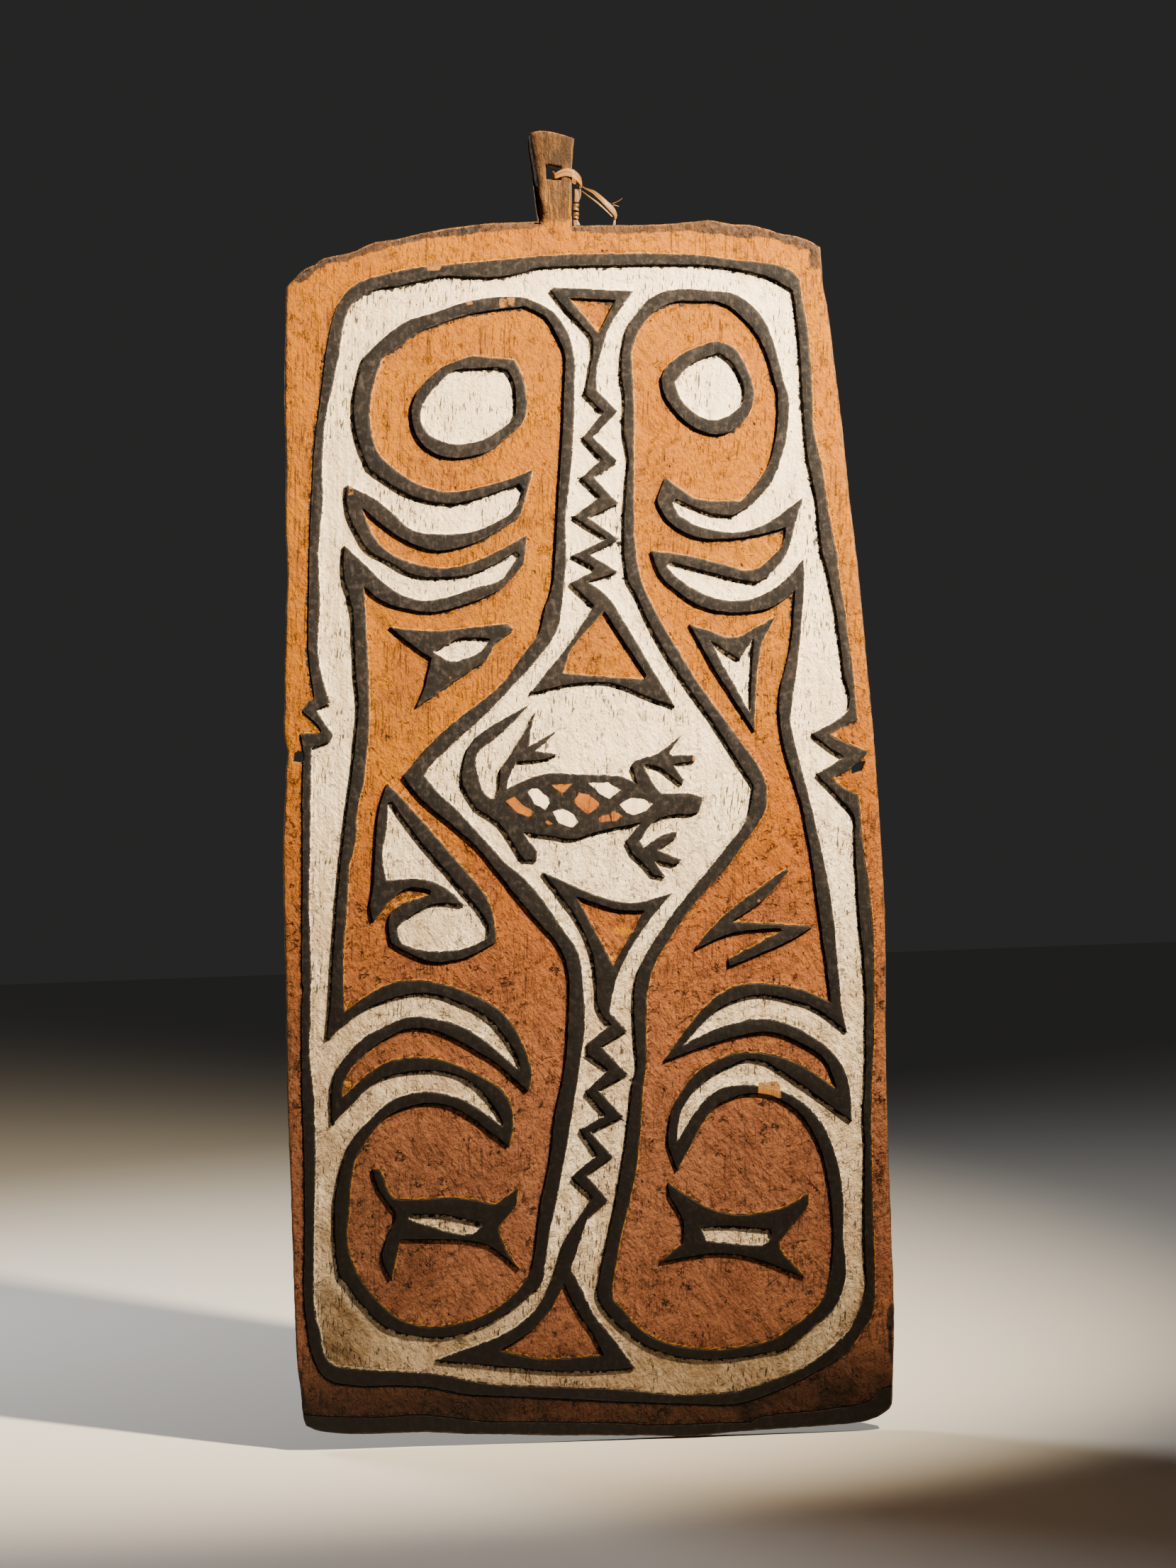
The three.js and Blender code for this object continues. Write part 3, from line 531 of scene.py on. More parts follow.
front.spots.extend(Vector(p) for p in scattered(FRONT_STEP, FRONT_ROOM, True, 3))
spots, faces, owners = front.fill()
kept, levels = [], []
for face, owner in zip(faces, owners):
    if board_region in owner and not set(hole_regions) & set(owner):
        kept.append(face)
        inner = min((r for r in owner if r in inside_level), key=region_size.get)
        levels.append(inside_level[inner])
spots, kept = only_used(spots, np.array(kept))
levels = np.array(levels)


# Depth of the wood at every point, from the cuts, the rim and the tool marks
def edge_profile(distance, rows):
    return np.interp(distance, [row[0] for row in rows], [row[1] for row in rows])


cut_apart, cut_tags, cut_foot = near_cut.to(spots)
cut_tags = np.array(cut_tags)
rim_apart, rim_tags, _ = near_rim.to(spots)
rim_tags = np.array(rim_tags)
level_near = np.full(len(spots), -1.0)
np.maximum.at(level_near, kept.ravel(), np.repeat(levels, 3))
highest = np.full(len(spots), 99.0)
np.minimum.at(highest, kept.ravel(), np.repeat(levels, 3))
is_low = highest > 0
edge_mm = np.where(is_low, cut_apart, -cut_apart)
edge_mm[cut_apart < 0.02] = 0.0
ground_depth = np.where(is_low, level_near, cut_tags)
# Which side of its cut each point lies on, towards or away from the lamp, for the painted shadow and painted
# highlight on the cut walls
off_band = (spots - cut_foot) * np.where(is_low, 1.0, -1.0)[:, None] / np.maximum(cut_apart, 0.01)[:, None]
shadow_side = np.where(cut_apart > 0.1, off_band @ np.array(SHADOW_DIRECTION), 0.0)
around, meets = np.zeros(len(spots)), np.zeros(len(spots))
for corner in range(3):
    for other in (kept[:, corner - 1], kept[:, corner - 2]):
        known = cut_apart[other] > 0.1
        np.add.at(around, kept[known, corner], shadow_side[other[known]])
        np.add.at(meets, kept[known, corner], 1)
shadow_side = np.where(cut_apart > 0.1, shadow_side, around / np.maximum(meets, 1))
cut_share = edge_profile(edge_mm * (1 + 0.25 * rough(spots, 23, 1, 4)), CUT_ROWS)
hewn = HEWN_FRONT * rough(spots, 22, 2.2, 1) + 0.5 * HEWN_FRONT * rough(spots, 9, 1.6, 2)
band_wave = HEWN_BAND * rough(spots, 30, 1.5, 7)
depth = ground_depth * cut_share
depth += np.where(is_low, hewn * np.clip(edge_mm / 4, 0, 1), band_wave)
on_board = rim_tags == 0
rim_drop = np.where(
    on_board,
    edge_profile(rim_apart * (1 + 0.3 * rough(spots, 40, 1, 5)), RIM_ROWS),
    edge_profile(rim_apart, HOLE_ROWS),
)
depth += rim_drop
foot, tip = (np.array(on_face(*spot)) for spot in TAB_FOOT_AND_CORNER)
tab_run = (tip - foot) / np.linalg.norm(tip - foot)
from_foot = spots - foot
along_tab = from_foot @ tab_run
beside_tab = from_foot @ np.array([tab_run[1], -tab_run[0]])
slant_depth = THICKNESS - TAB_BACK_LIP - (TAB_FACE - TAB_BACK_LIP) * beside_tab / TAB_SLANT
on_slant = (along_tab > -2) & (abs(beside_tab - TAB_SLANT) < 1.5 * TAB_SLANT)
depth = np.where(on_slant, np.maximum(depth, np.minimum(slant_depth, THICKNESS - TAB_BACK_LIP)), depth)
wobble_across = rough(spots, 7, 1, 21) + 0.8 * rough(spots, 24, 1, 22)
wobble_up = rough(spots, 7, 1, 23) + 0.8 * rough(spots, 24, 1, 24)
front_points = np.stack(
    [spots[:, 0] + HAND_WOBBLE * wobble_across, depth - THICKNESS, spots[:, 1] + HAND_WOBBLE * wobble_up],
    axis=1,
)

# The sides run back from the front's own boundary, and a hewn back closes them
uses = {}
for a, b, c in kept:
    for start, end in ((a, b), (b, c), (c, a)):
        uses[(start, end)] = True
boundary = [edge for edge in uses if (edge[1], edge[0]) not in uses]
assert len({start for start, _ in boundary}) == len(boundary)
loops = [chain for chain, _ in follow(boundary)]
back = Sketch()
loop_regions = [back.region(spots[loop]) for loop in loops]
largest = max(range(len(loops)), key=lambda n: abs(area(spots[loops[n]])))
back.spots.extend(Vector(p) for p in scattered(BACK_STEP, BACK_ROOM, False, 5))
back_spots, back_faces, back_owners = back.fill()
back_kept = [f for f, o in zip(back_faces, back_owners) if list(o) == [loop_regions[largest]]]
back_spots, back_kept = only_used(back_spots, np.array(back_kept))
back_place = {(round(x, 3), round(z, 3)): n for n, (x, z) in enumerate(back_spots)}
back_apart = near_rim.to(back_spots)[0]
back_y = -HEWN_BACK * (0.5 + 0.5 * rough(back_spots, 34, 1.7, 11))
back_y -= edge_profile(back_apart, BACK_ROWS)

points = [tuple(p) for p in front_points]
back_start = len(points)
points += [(x, y, z) for (x, z), y in zip(back_spots, back_y)]
skin = [tuple(face) for face in kept]
skin += [(back_start + a, back_start + c, back_start + b) for a, b, c in back_kept]
for loop in loops:
    flat = spots[loop]
    behind = [back_start + back_place[(round(x, 3), round(z, 3))] for x, z in flat]
    outward = flat - shifted(flat, True, -1.0)
    previous = list(loop)
    for share in SIDE_ROWS:
        row = []
        for place, (near, far) in enumerate(zip(loop, behind)):
            near_point, far_point = np.array(points[near]), np.array(points[far])
            spot = near_point + (far_point - near_point) * share
            wave = HEWN_SIDE * noise.noise(Vector((spot[0] / 16, spot[1] / 9, spot[2] / 16)))
            push = wave + SIDE_BULGE * math.sin(math.pi * share)
            spot[0] += outward[place][0] * push
            spot[2] += outward[place][1] * push
            row.append(len(points))
            points.append(tuple(spot))
        for i in range(len(loop)):
            j = (i + 1) % len(loop)
            skin.append((previous[j], previous[i], row[i], row[j]))
        previous = row
    for i in range(len(loop)):
        j = (i + 1) % len(loop)
        skin.append((previous[j], previous[i], behind[i], behind[j]))


def new_piece(name, corner_points, corner_faces, materials=()):
    """A smooth-shaded object from points in millimetres."""
    mesh = bpy.data.meshes.new(name)
    mesh.from_pydata([(x * MM, y * MM, z * MM) for x, y, z in corner_points], [], corner_faces)
    mesh.shade_smooth()
    for material in materials:
        mesh.materials.append(material)
    piece = bpy.data.objects.new(name, mesh)
    bpy.context.scene.collection.objects.link(piece)
    return piece


def mark_points(piece, name, values):
    """Keeps a number at every point of a mesh, for its material to read."""
    layer = piece.data.attributes.new(name, "FLOAT", "POINT")
    layer.data.foreach_set("value", np.asarray(values, np.float32))


shield = new_piece("shield", points, skin)
beyond = len(points) - len(spots)
tab_inside = depth_inside(spots, marks_on_face([TAB_PATCH])[0])
for name, values, elsewhere in (
    ("edge_mm", edge_mm, 20.0),
    ("orange_ground", (cut_tags < (ORANGE_LEVEL + WHITE_LEVEL) / 2) * 1.0, 1.0),
    ("shadow_side", shadow_side, 0.0),
    ("rim_mm", np.where(on_board, rim_apart, 30.0), 0.0),
    ("tab_mm", tab_inside, 5.0),
    ("white_mm", inside_any(spots, marks_on_face(WHITE_MARKS)), -30.0),
    ("orange_mm", inside_any(spots, marks_on_face(ORANGE_MARKS)), -30.0),
    ("bare_mm", inside_any(spots, marks_on_face(BARE_MARKS)), -30.0),
    ("dark_mm", inside_any(spots, marks_on_face(DARK_MARKS)), -30.0),
    ("smoke_mm", inside_any(spots, marks_on_face(SMOKE_MARKS)), -30.0),
    ("ochre_mm", inside_any(spots, marks_on_face(OCHRE_MARKS)), -30.0),
    ("stain_mm", inside_any(spots, marks_on_face(STAIN_MARKS)), -30.0),
    ("on_front", np.ones(len(spots)), 0.0),
):
    mark_points(shield, name, np.concatenate([np.clip(values, -30, 30), np.full(beyond, elsewhere)]))


# Paint and wood of the shield
# Earth paints on bare wood: charcoal black on the bands, lime white and ochre
# on the grounds. They are matt and crusted, with pits, scratches and worn edges.
def colour(red, green, blue):
    """An ordinary 0 to 255 screen colour as the linear one that a shader takes."""
    shares = (red / 255, green / 255, blue / 255)
    return tuple(v / 12.92 if v <= 0.04045 else ((v + 0.055) / 1.055) ** 2.4 for v in shares) + (1.0,)


WOOD_PALE, WOOD_MIDDLE, WOOD_DARK = colour(150, 108, 62), colour(108, 72, 40), colour(44, 29, 18)
WOOD_GREY, WOOD_BARE, SMOKED = colour(82, 68, 54), colour(136, 94, 44), colour(36, 31, 28)
ORANGE_YELLOW, ORANGE, ORANGE_LOW = colour(156, 99, 0), colour(144, 79, 6), colour(130, 84, 60)
ORANGE_RED, ORANGE_BROWN, ORANGE_PALE = colour(110, 66, 46), colour(46, 29, 21), colour(182, 126, 38)
WHITE_CLEAN, WHITE_GREY, WHITE_BROWN = colour(250, 235, 210), colour(178, 155, 126), colour(104, 80, 52)
BLACK, BLACK_WORN, BLACK_BROWN = colour(23, 22, 23), colour(82, 74, 72), colour(35, 31, 29)
# Near-black used for grime, and also for painted shade
GRIME_AND_SHADE = colour(10, 8, 7)

painted, painted_surface = new_material("painted_wood", ORANGE, 0.85)
tree = painted.node_tree
place = shader(tree, "TexCoord").outputs["Object"]


def read(name):
    return shader(tree, "Attribute", attribute_name=name).outputs["Fac"]


def drawn_out(angle, length):
    """Coordinates in which a pattern runs long in one direction of the face."""
    inputs = {0: place, 2: (0, math.radians(angle), 0), 3: (1, 1, length)}
    return shader(tree, "Mapping", inputs, vector_type="TEXTURE").outputs[0]


def pattern(size_mm, where=None, detail=3.0, roughness=0.55, warp=0.0):
    inputs = {"Vector": where or place, "Scale": 1000 / size_mm, "Detail": detail, "Roughness": roughness}
    inputs["Distortion"] = warp
    return shader(tree, "TexNoise", inputs).outputs["Fac"]


def between(value, low, high, start=0.0, end=1.0):
    inputs = {0: value, 1: low, 2: high, 3: start, 4: end}
    return shader(tree, "MapRange", inputs, interpolation_type="SMOOTHSTEP").outputs[0]


def maths(operation, first, second=0.0, third=0.0):
    return shader(tree, "Math", {0: first, 1: second, 2: third}, operation=operation).outputs[0]


def mixed(share, first, second):
    return shader(tree, "Mix", {0: share, 6: first, 7: second}, data_type="RGBA").outputs[2]


height_share = shader(tree, "SeparateXYZ", {0: place}).outputs[2]
downward = between(height_share, 0.45, -0.62)
foot_stain_and_shade = between(height_share, -0.525, -0.625)
turned = between(pattern(58, detail=1), 0.44, 0.54)
marks_down = pattern(12, drawn_out(-36, 2.3), detail=3, warp=0.2)
marks_up = pattern(10, drawn_out(64, 2.4), detail=3, warp=0.2)
tool_marks = maths("MULTIPLY_ADD", turned, maths("SUBTRACT", marks_up, marks_down), marks_down)
large = pattern(170, detail=2)
middling = pattern(38, drawn_out(20, 1.6), detail=4)
fine = pattern(5, detail=5, roughness=0.65)
fibre = pattern(1.6, drawn_out(0, 12), detail=3)
wide_fibre = pattern(8, drawn_out(1.5, 12), detail=3)
lumps = pattern(4.2, drawn_out(-32, 1.9), detail=6, roughness=0.68, warp=0.35)
cross_lumps = pattern(6.5, drawn_out(55, 2.2), detail=4, roughness=0.62, warp=0.3)
edge = read("edge_mm")
fields = pattern(44, detail=2)
cells = shader(tree, "TexVoronoi", {"Vector": drawn_out(-24, 1.8), "Scale": 1000 / 4.6})
chance = shader(tree, "SeparateColor", {0: cells.outputs["Color"]}).outputs[0]
rare = maths("ADD", between(fields, 0.36, 0.66, 0.97, 0.66), between(downward, 0.0, 0.6, 0.25, 0.03))
rare = maths("MINIMUM", rare, between(edge, 1.5, 7.0, 0.58, 0.99))
rare = maths("ADD", rare, between(read("rim_mm"), 30.0, 20.0, 0.0, 0.2))
rare = maths("MINIMUM", rare, 0.99)
pit_size = shader(tree, "MapRange", {0: chance, 1: rare, 2: 1.0, 3: 0.0, 4: 0.34}).outputs[0]
pits = between(cells.outputs["Distance"], pit_size, maths("ADD", pit_size, -0.09))
crack_noise = pattern(10, drawn_out(62, 1.7), detail=4, roughness=0.6, warp=0.4)
crack_line = maths("ABSOLUTE", maths("ADD", crack_noise, -0.5))
crack_part = maths("MAXIMUM", between(pattern(15, detail=3), 0.54, 0.66), between(edge, 6.0, 1.5, 0.0, 0.8))
crack_part = maths("MULTIPLY", crack_part, between(downward, 0.0, 0.6, 0.5, 1.0))
tears = maths("MULTIPLY", between(crack_line, 0.050, 0.018), crack_part)
strokes_of_stain = pattern(7, drawn_out(-42, 5), detail=3)
scratch_noise = pattern(1.9, drawn_out(5, 6.5), detail=3, roughness=0.5, warp=0.3)
scratch_limit = between(pattern(55, detail=2), 0.34, 0.64, 0.675, 0.57)
scratches = between(maths("SUBTRACT", scratch_noise, scratch_limit), 0.0, 0.04)

# Bare wood, with its grain running up the board
wood = mixed(between(wide_fibre, 0.35, 0.68), WOOD_MIDDLE, WOOD_DARK)
wood = mixed(between(fibre, 0.42, 0.70), wood, WOOD_PALE)
wood = mixed(between(middling, 0.45, 0.75, 0.0, 0.75), wood, WOOD_GREY)

# Ochre: redder and browner lower down, partly as painted shade, mottled, darker where it is pitted
ochre_share = maths("ADD", between(large, 0.3, 0.7, 0.0, 0.45), between(downward, 0.0, 0.8, 0.0, 1.0))
ochre = mixed(ochre_share, ORANGE_YELLOW, ORANGE)
ochre = mixed(between(downward, 0.25, 0.95), ochre, ORANGE_LOW)
reddened = maths("MULTIPLY", between(middling, 0.42, 0.72), between(downward, 0, 1, 0.35, 0.8))
ochre = mixed(reddened, ochre, ORANGE_RED)
# Painted shade and highlight that follow the relief below: redder in the hollows of the lumps, paler on the
# crests of the cross lumps
ochre = mixed(between(lumps, 0.54, 0.36, 0.0, 0.5), ochre, ORANGE_RED)
ochre = mixed(between(cross_lumps, 0.56, 0.74, 0.0, 0.25), ochre, ORANGE_PALE)
streaks = between(pattern(2.6, drawn_out(3, 16), detail=3), 0.54, 0.68)
streaks = maths("MULTIPLY", streaks, between(fields, 0.42, 0.62))
ochre = mixed(maths("MULTIPLY", streaks, 0.7), ochre, ORANGE_BROWN)
ochre = mixed(maths("MULTIPLY", between(fine, 0.5, 0.3, 0.0, 0.8), downward), ochre, ORANGE_BROWN)
# Painted shade: browner in the hollows of the tool marks
ochre = mixed(between(tool_marks, 0.47, 0.33, 0.0, 0.3), ochre, ORANGE_BROWN)
# Near-black at the foot: stain, and painted shade
ochre = mixed(maths("MULTIPLY", foot_stain_and_shade, between(middling, 0.3, 0.7, 0.93, 0.72)), ochre, GRIME_AND_SHADE)

# White: clean and crusted at the top, greyer and browner towards the foot and
# greyer on the left, partly from dirt and partly as painted shade
white_share = maths("MULTIPLY", between(middling, 0.30, 0.66, 0.25), between(downward, 0, 1, 0.2, 1.0))
white = mixed(white_share, WHITE_CLEAN, WHITE_GREY)
brown_grain = maths("MULTIPLY", between(wide_fibre, 0.50, 0.76), between(downward, 0, 1, 0.25, 0.4))
white = mixed(brown_grain, white, WHITE_BROWN)
# Browner in the hollows of the lumps: painted shade, and dirt
brown_shaded_hollows = maths("MULTIPLY", between(lumps, 0.46, 0.30), between(downward, 0, 1, 0.25, 0.7))
white = mixed(brown_shaded_hollows, white, WHITE_BROWN)
white = mixed(between(pattern(9, detail=3), 0.70, 0.76, 0.0, 0.7), white, WHITE_BROWN)
brushed = between(pattern(4, drawn_out(2, 9), detail=4, roughness=0.6), 0.40, 0.62)
white = mixed(maths("MULTIPLY", brushed, between(downward, 0.15, 0.9, 0.28, 0.55)), white, WHITE_GREY)
foot_dirt = maths("MULTIPLY", between(height_share, -0.44, -0.58), between(lumps, 0.35, 0.6, 0.45, 0.75))
white = mixed(foot_dirt, white, WHITE_BROWN)
left_share = between(shader(tree, "SeparateXYZ", {0: place}).outputs[0], 0.05, -0.33)
# Grey streaks on the left, which also serve as painted shade
left_grey_and_shade = between(pattern(3, drawn_out(2, 12), detail=4), 0.40, 0.60, 0.15, 0.75)
white = mixed(maths("MULTIPLY", left_share, left_grey_and_shade), white, WHITE_GREY)
stain = between(read("stain_mm"), -12.0, 6.0)
stain = maths("MULTIPLY", stain, between(strokes_of_stain, 0.34, 0.62, 0.55, 0.95))
white = mixed(stain, white, WHITE_BROWN)

# Grounds, with a paler line painted up the cut walls that face the lamp: a painted highlight
wobble = maths("MULTIPLY_ADD", pattern(7, detail=3), 2.4, -1.2)
splashes = maths("MULTIPLY_ADD", pattern(2.6, detail=3), 2.6, -1.3)
wobble = maths("MULTIPLY_ADD", splashes, between(read("orange_ground"), 0, 1, 1.0, 0.4), wobble)
ragged_edge = maths("ADD", edge, wobble)
ground = mixed(read("orange_ground"), white, ochre)
wall_highlight_colour = mixed(read("orange_ground"), WHITE_CLEAN, ORANGE_PALE)
on_shadow_side = read("shadow_side")
lit_wall_highlight = maths("MULTIPLY", between(ragged_edge, -0.5, 0.2), between(ragged_edge, 2.0, 1.0))
# Painted highlight: the pale line is kept only on walls that face the lamp
lit_side = maths("MULTIPLY", between(on_shadow_side, 0.3, -0.3), between(downward, 0.3, 1.0, 1.0, 0.7))
lit_wall_highlight = maths("MULTIPLY", lit_wall_highlight, lit_side)
lit_wall_highlight = maths("MULTIPLY", lit_wall_highlight, between(height_share, -0.60, -0.56))
ground = mixed(maths("MULTIPLY", lit_wall_highlight, between(fine, 0.3, 0.6, 0.25, 0.9)), ground, wall_highlight_colour)
# Pits, tears and scratches, denser near the cuts, are hollows in the relief and darkened in colour as well:
# dirt in them, and painted shade
hollow_dirt_and_shade = maths("MAXIMUM", pits, tears)
hollow_dirt_and_shade = maths("MULTIPLY", hollow_dirt_and_shade, between(read("orange_ground"), 0, 1, 0.6, 0.85))
ground = mixed(hollow_dirt_and_shade, ground, GRIME_AND_SHADE)
ground = mixed(maths("MULTIPLY", scratches, between(read("orange_ground"), 0, 1, 0.85, 0.45)), ground, GRIME_AND_SHADE)

# Black on what stands up, thin on its edges and brushed lengthwise, darkened towards the foot as painted
# shade, and run on past the cuts away from the lamp as a painted shadow
charcoal = mixed(between(middling, 0.40, 0.75, 0.0, 0.7), BLACK, BLACK_BROWN)
charcoal = mixed(between(pattern(7, detail=6, roughness=0.7), 0.46, 0.72, 0.0, 0.38), charcoal, BLACK_WORN)
charcoal = mixed(between(fibre, 0.58, 0.8, 0.0, 0.35), charcoal, BLACK_WORN)
crosswise = pattern(24, drawn_out(75, 0.4), detail=3)
charcoal = mixed(between(crosswise, 0.58, 0.78, 0.0, 0.35), charcoal, BLACK_WORN)
# Painted shade: the black darkens towards the foot
charcoal = mixed(between(downward, 0.1, 0.9, 0.0, 0.8), charcoal, GRIME_AND_SHADE)
arris = maths("MULTIPLY", between(edge, -1.5, -0.5), between(fine, 0.42, 0.66))
charcoal = mixed(maths("MULTIPLY", arris, between(downward, 0, 1, 0.55, 0.25)), charcoal, BLACK_WORN)
crumbled = between(pattern(6, detail=5, roughness=0.65), 0.36, 0.66, 0.5, 3.4)
# Painted shadow: on the side away from the lamp the black runs on past the cut over the wall and its foot,
# raggedly, and further near the top
ragged_shadow_length = maths("MULTIPLY", crumbled, between(downward, 0.1, 0.7, 1.5, 1.0))
painted_shadow_reach = maths("MULTIPLY", between(on_shadow_side, 0.0, 0.75), ragged_shadow_length)
band_and_shadow = maths("SUBTRACT", 1.0, between(maths("SUBTRACT", ragged_edge, painted_shadow_reach), 0.0, 0.5))
dark = maths("ADD", read("dark_mm"), maths("MULTIPLY_ADD", pattern(12, detail=4), 9.0, -4.5))
dark_share = maths("MULTIPLY", between(dark, -1.2, 1.2), between(middling, 0.3, 0.7, 1.0, 0.72))
face = mixed(maths("MAXIMUM", band_and_shadow, dark_share), ground, charcoal)

# Marks painted and rubbed on the face
ragged = maths("MULTIPLY_ADD", pattern(5, detail=3), 2.4, -1.2)


def mark(name, colour_below, mark_colour, strength=1.0):
    inside = maths("ADD", read(name), ragged)
    return mixed(between(inside, -0.3, 0.5, 0.0, strength), colour_below, mark_colour)


face = mark("white_mm", face, white)
face = mark("orange_mm", face, ochre)
face = mark("ochre_mm", face, ORANGE_YELLOW)
face = mark("bare_mm", face, mixed(between(fibre, 0.40, 0.70), WOOD_BARE, WOOD_MIDDLE), 0.9)

# The tab and the rim are bare, and so are the sides and the back
tab_edge = maths("ADD", read("tab_mm"), maths("MULTIPLY_ADD", pattern(11, detail=4), 16.0, -8.0))
smoke_depth = read("smoke_mm")
smoke_edge = maths("MULTIPLY_ADD", pattern(9, drawn_out(0, 2), detail=4), 14.0, -7.0)
smoke = maths("ADD", smoke_depth, smoke_edge)
smoked_top = between(height_share, 0.688, 0.712, 0.40, 1.0)
smoke = between(smoke, -4.0, 4.0, smoked_top, 1.0)
smoke = maths("MULTIPLY", smoke, between(middling, 0.35, 0.65, 0.72, 0.97))
face = mixed(between(tab_edge, -2.0, 3.0, 0.0, 0.93), face, mixed(smoke, wood, SMOKED))
rim_depth = read("rim_mm")
rim_edge = maths("MULTIPLY_ADD", pattern(14, drawn_out(0, 2), detail=4), -5.0, 1.4)
rim_wear = between(maths("ADD", rim_depth, rim_edge), 0.9, -0.3)
# Painted shade: the bare rim wears through less at the foot
rim_wear = maths("MULTIPLY", rim_wear, between(foot_stain_and_shade, 0.4, 0.8, 1.0, 0.25))
face = mixed(rim_wear, face, wood)
front_share = maths("ADD", read("on_front"), maths("MULTIPLY_ADD", pattern(8, detail=3), 0.5, -0.25))
# Painted shade: the bare wood of the sides and back is darkened at the foot
wood_shaded_at_foot = mixed(maths("MULTIPLY", foot_stain_and_shade, between(fine, 0.3, 0.6, 0.55, 0.85)), wood, GRIME_AND_SHADE)
finish = mixed(between(front_share, 0.30, 0.62), wood_shaded_at_foot, face)
# Darker in flecks towards the foot: dust, and painted shade
dust_and_shade = maths("MULTIPLY", between(fine, 0.4, 0.75), between(downward, 0.3, 1, 0.0, 0.30))
finish = mixed(dust_and_shade, finish, GRIME_AND_SHADE)
# Painted shade: the lower left of the board is darkened
lower_left_shade = maths("MULTIPLY", left_share, between(downward, 0.2, 1.0))
finish = mixed(maths("MULTIPLY", lower_left_shade, between(middling, 0.3, 0.7, 0.28, 0.50)), finish, GRIME_AND_SHADE)
tree.links.new(finish, painted_surface.inputs["Base Color"])

# Relief too small for the mesh, in millimetres
crumbs = pattern(2.2, drawn_out(50, 1.5), detail=4, roughness=0.7, warp=0.3)
relief = maths("MULTIPLY", fibre, 0.25)
relief = maths("MULTIPLY_ADD", crumbs, between(downward, 0, 1, 1.6, 2.6), relief)
relief = maths("MULTIPLY_ADD", tool_marks, between(downward, 0, 1, 3.0, 9.0), relief)
relief = maths("MULTIPLY_ADD", lumps, between(downward, 0, 1, 1.9, 4.2), relief)
relief = maths("MULTIPLY_ADD", cross_lumps, between(downward, 0, 1, 1.3, 5.0), relief)
relief = maths("MULTIPLY_ADD", pits, -1.6, relief)
relief = maths("MULTIPLY_ADD", tears, -1.3, relief)
relief = maths("MULTIPLY_ADD", scratches, -0.8, relief)
smooth_relief = maths("MULTIPLY_ADD", fine, 0.5, maths("MULTIPLY", wide_fibre, 0.35))
on_ground = maths("MULTIPLY", between(edge, -0.3, 1.0), read("on_front"))
ground_relief = maths("MULTIPLY", relief, on_ground)
band_relief = maths("MULTIPLY", smooth_relief, maths("SUBTRACT", 1.0, on_ground))
height = maths("ADD", ground_relief, band_relief)
bump = shader(tree, "Bump", {"Strength": 1.0, "Distance": MM, "Height": height})
tree.links.new(bump.outputs[0], painted_surface.inputs["Normal"])
sheen_of_paint = between(maths("MULTIPLY_ADD", band_and_shadow, -0.35, fine), 0.1, 0.7, 0.52, 0.92)
tree.links.new(sheen_of_paint, painted_surface.inputs["Roughness"])
painted_surface.inputs["Specular IOR Level"].default_value = 0.10
shield.data.materials.append(painted)

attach(shield, "root")
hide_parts("plank")


# The loop of cane
# A strip split from a cane's outer skin, about 9 mm wide. It comes forward
# through the square hole, lies over the tab's front and returns behind it.
HALF_SKIN = 7
LOOP_THICKNESS = 1.6
LOOP_WIDTH = 8.8
LOOP_CLEARANCE = 1.15
LOOP_PATH = (
    (4, 985, 1036.6, 620), (14, 1005, 1038.8, 860), (24, 1005, 1039.8), (34, 1000, 1038.4), (41, 850, 1035.6),
    (45.6, 660, 1032.6), (47.2, 470, 1030.3), (45.6, 230, 1031.6), (40, 50, 1034.4), (32, -5, 1036.6),
    (18, -5, 1038), (8, 5, 1038.4), (2, 160, 1038.6), (0, 420, 1038.6), (0, 760, 1038.4),
)


def cane_path(path, clearance=0.0, width=LOOP_WIDTH):
    """Points of a strip in millimetres, each with the strip's width there."""
    traced = []
    for across, forward, up, *own_width in path:
        x, z = on_face(across, up)
        share = forward * 0.001
        y = -(share * TAB_FACE + (2 * share - 1) * clearance)
        traced.append((x, y, z, width * (own_width[0] * 0.001 if own_width else 1)))
    return traced


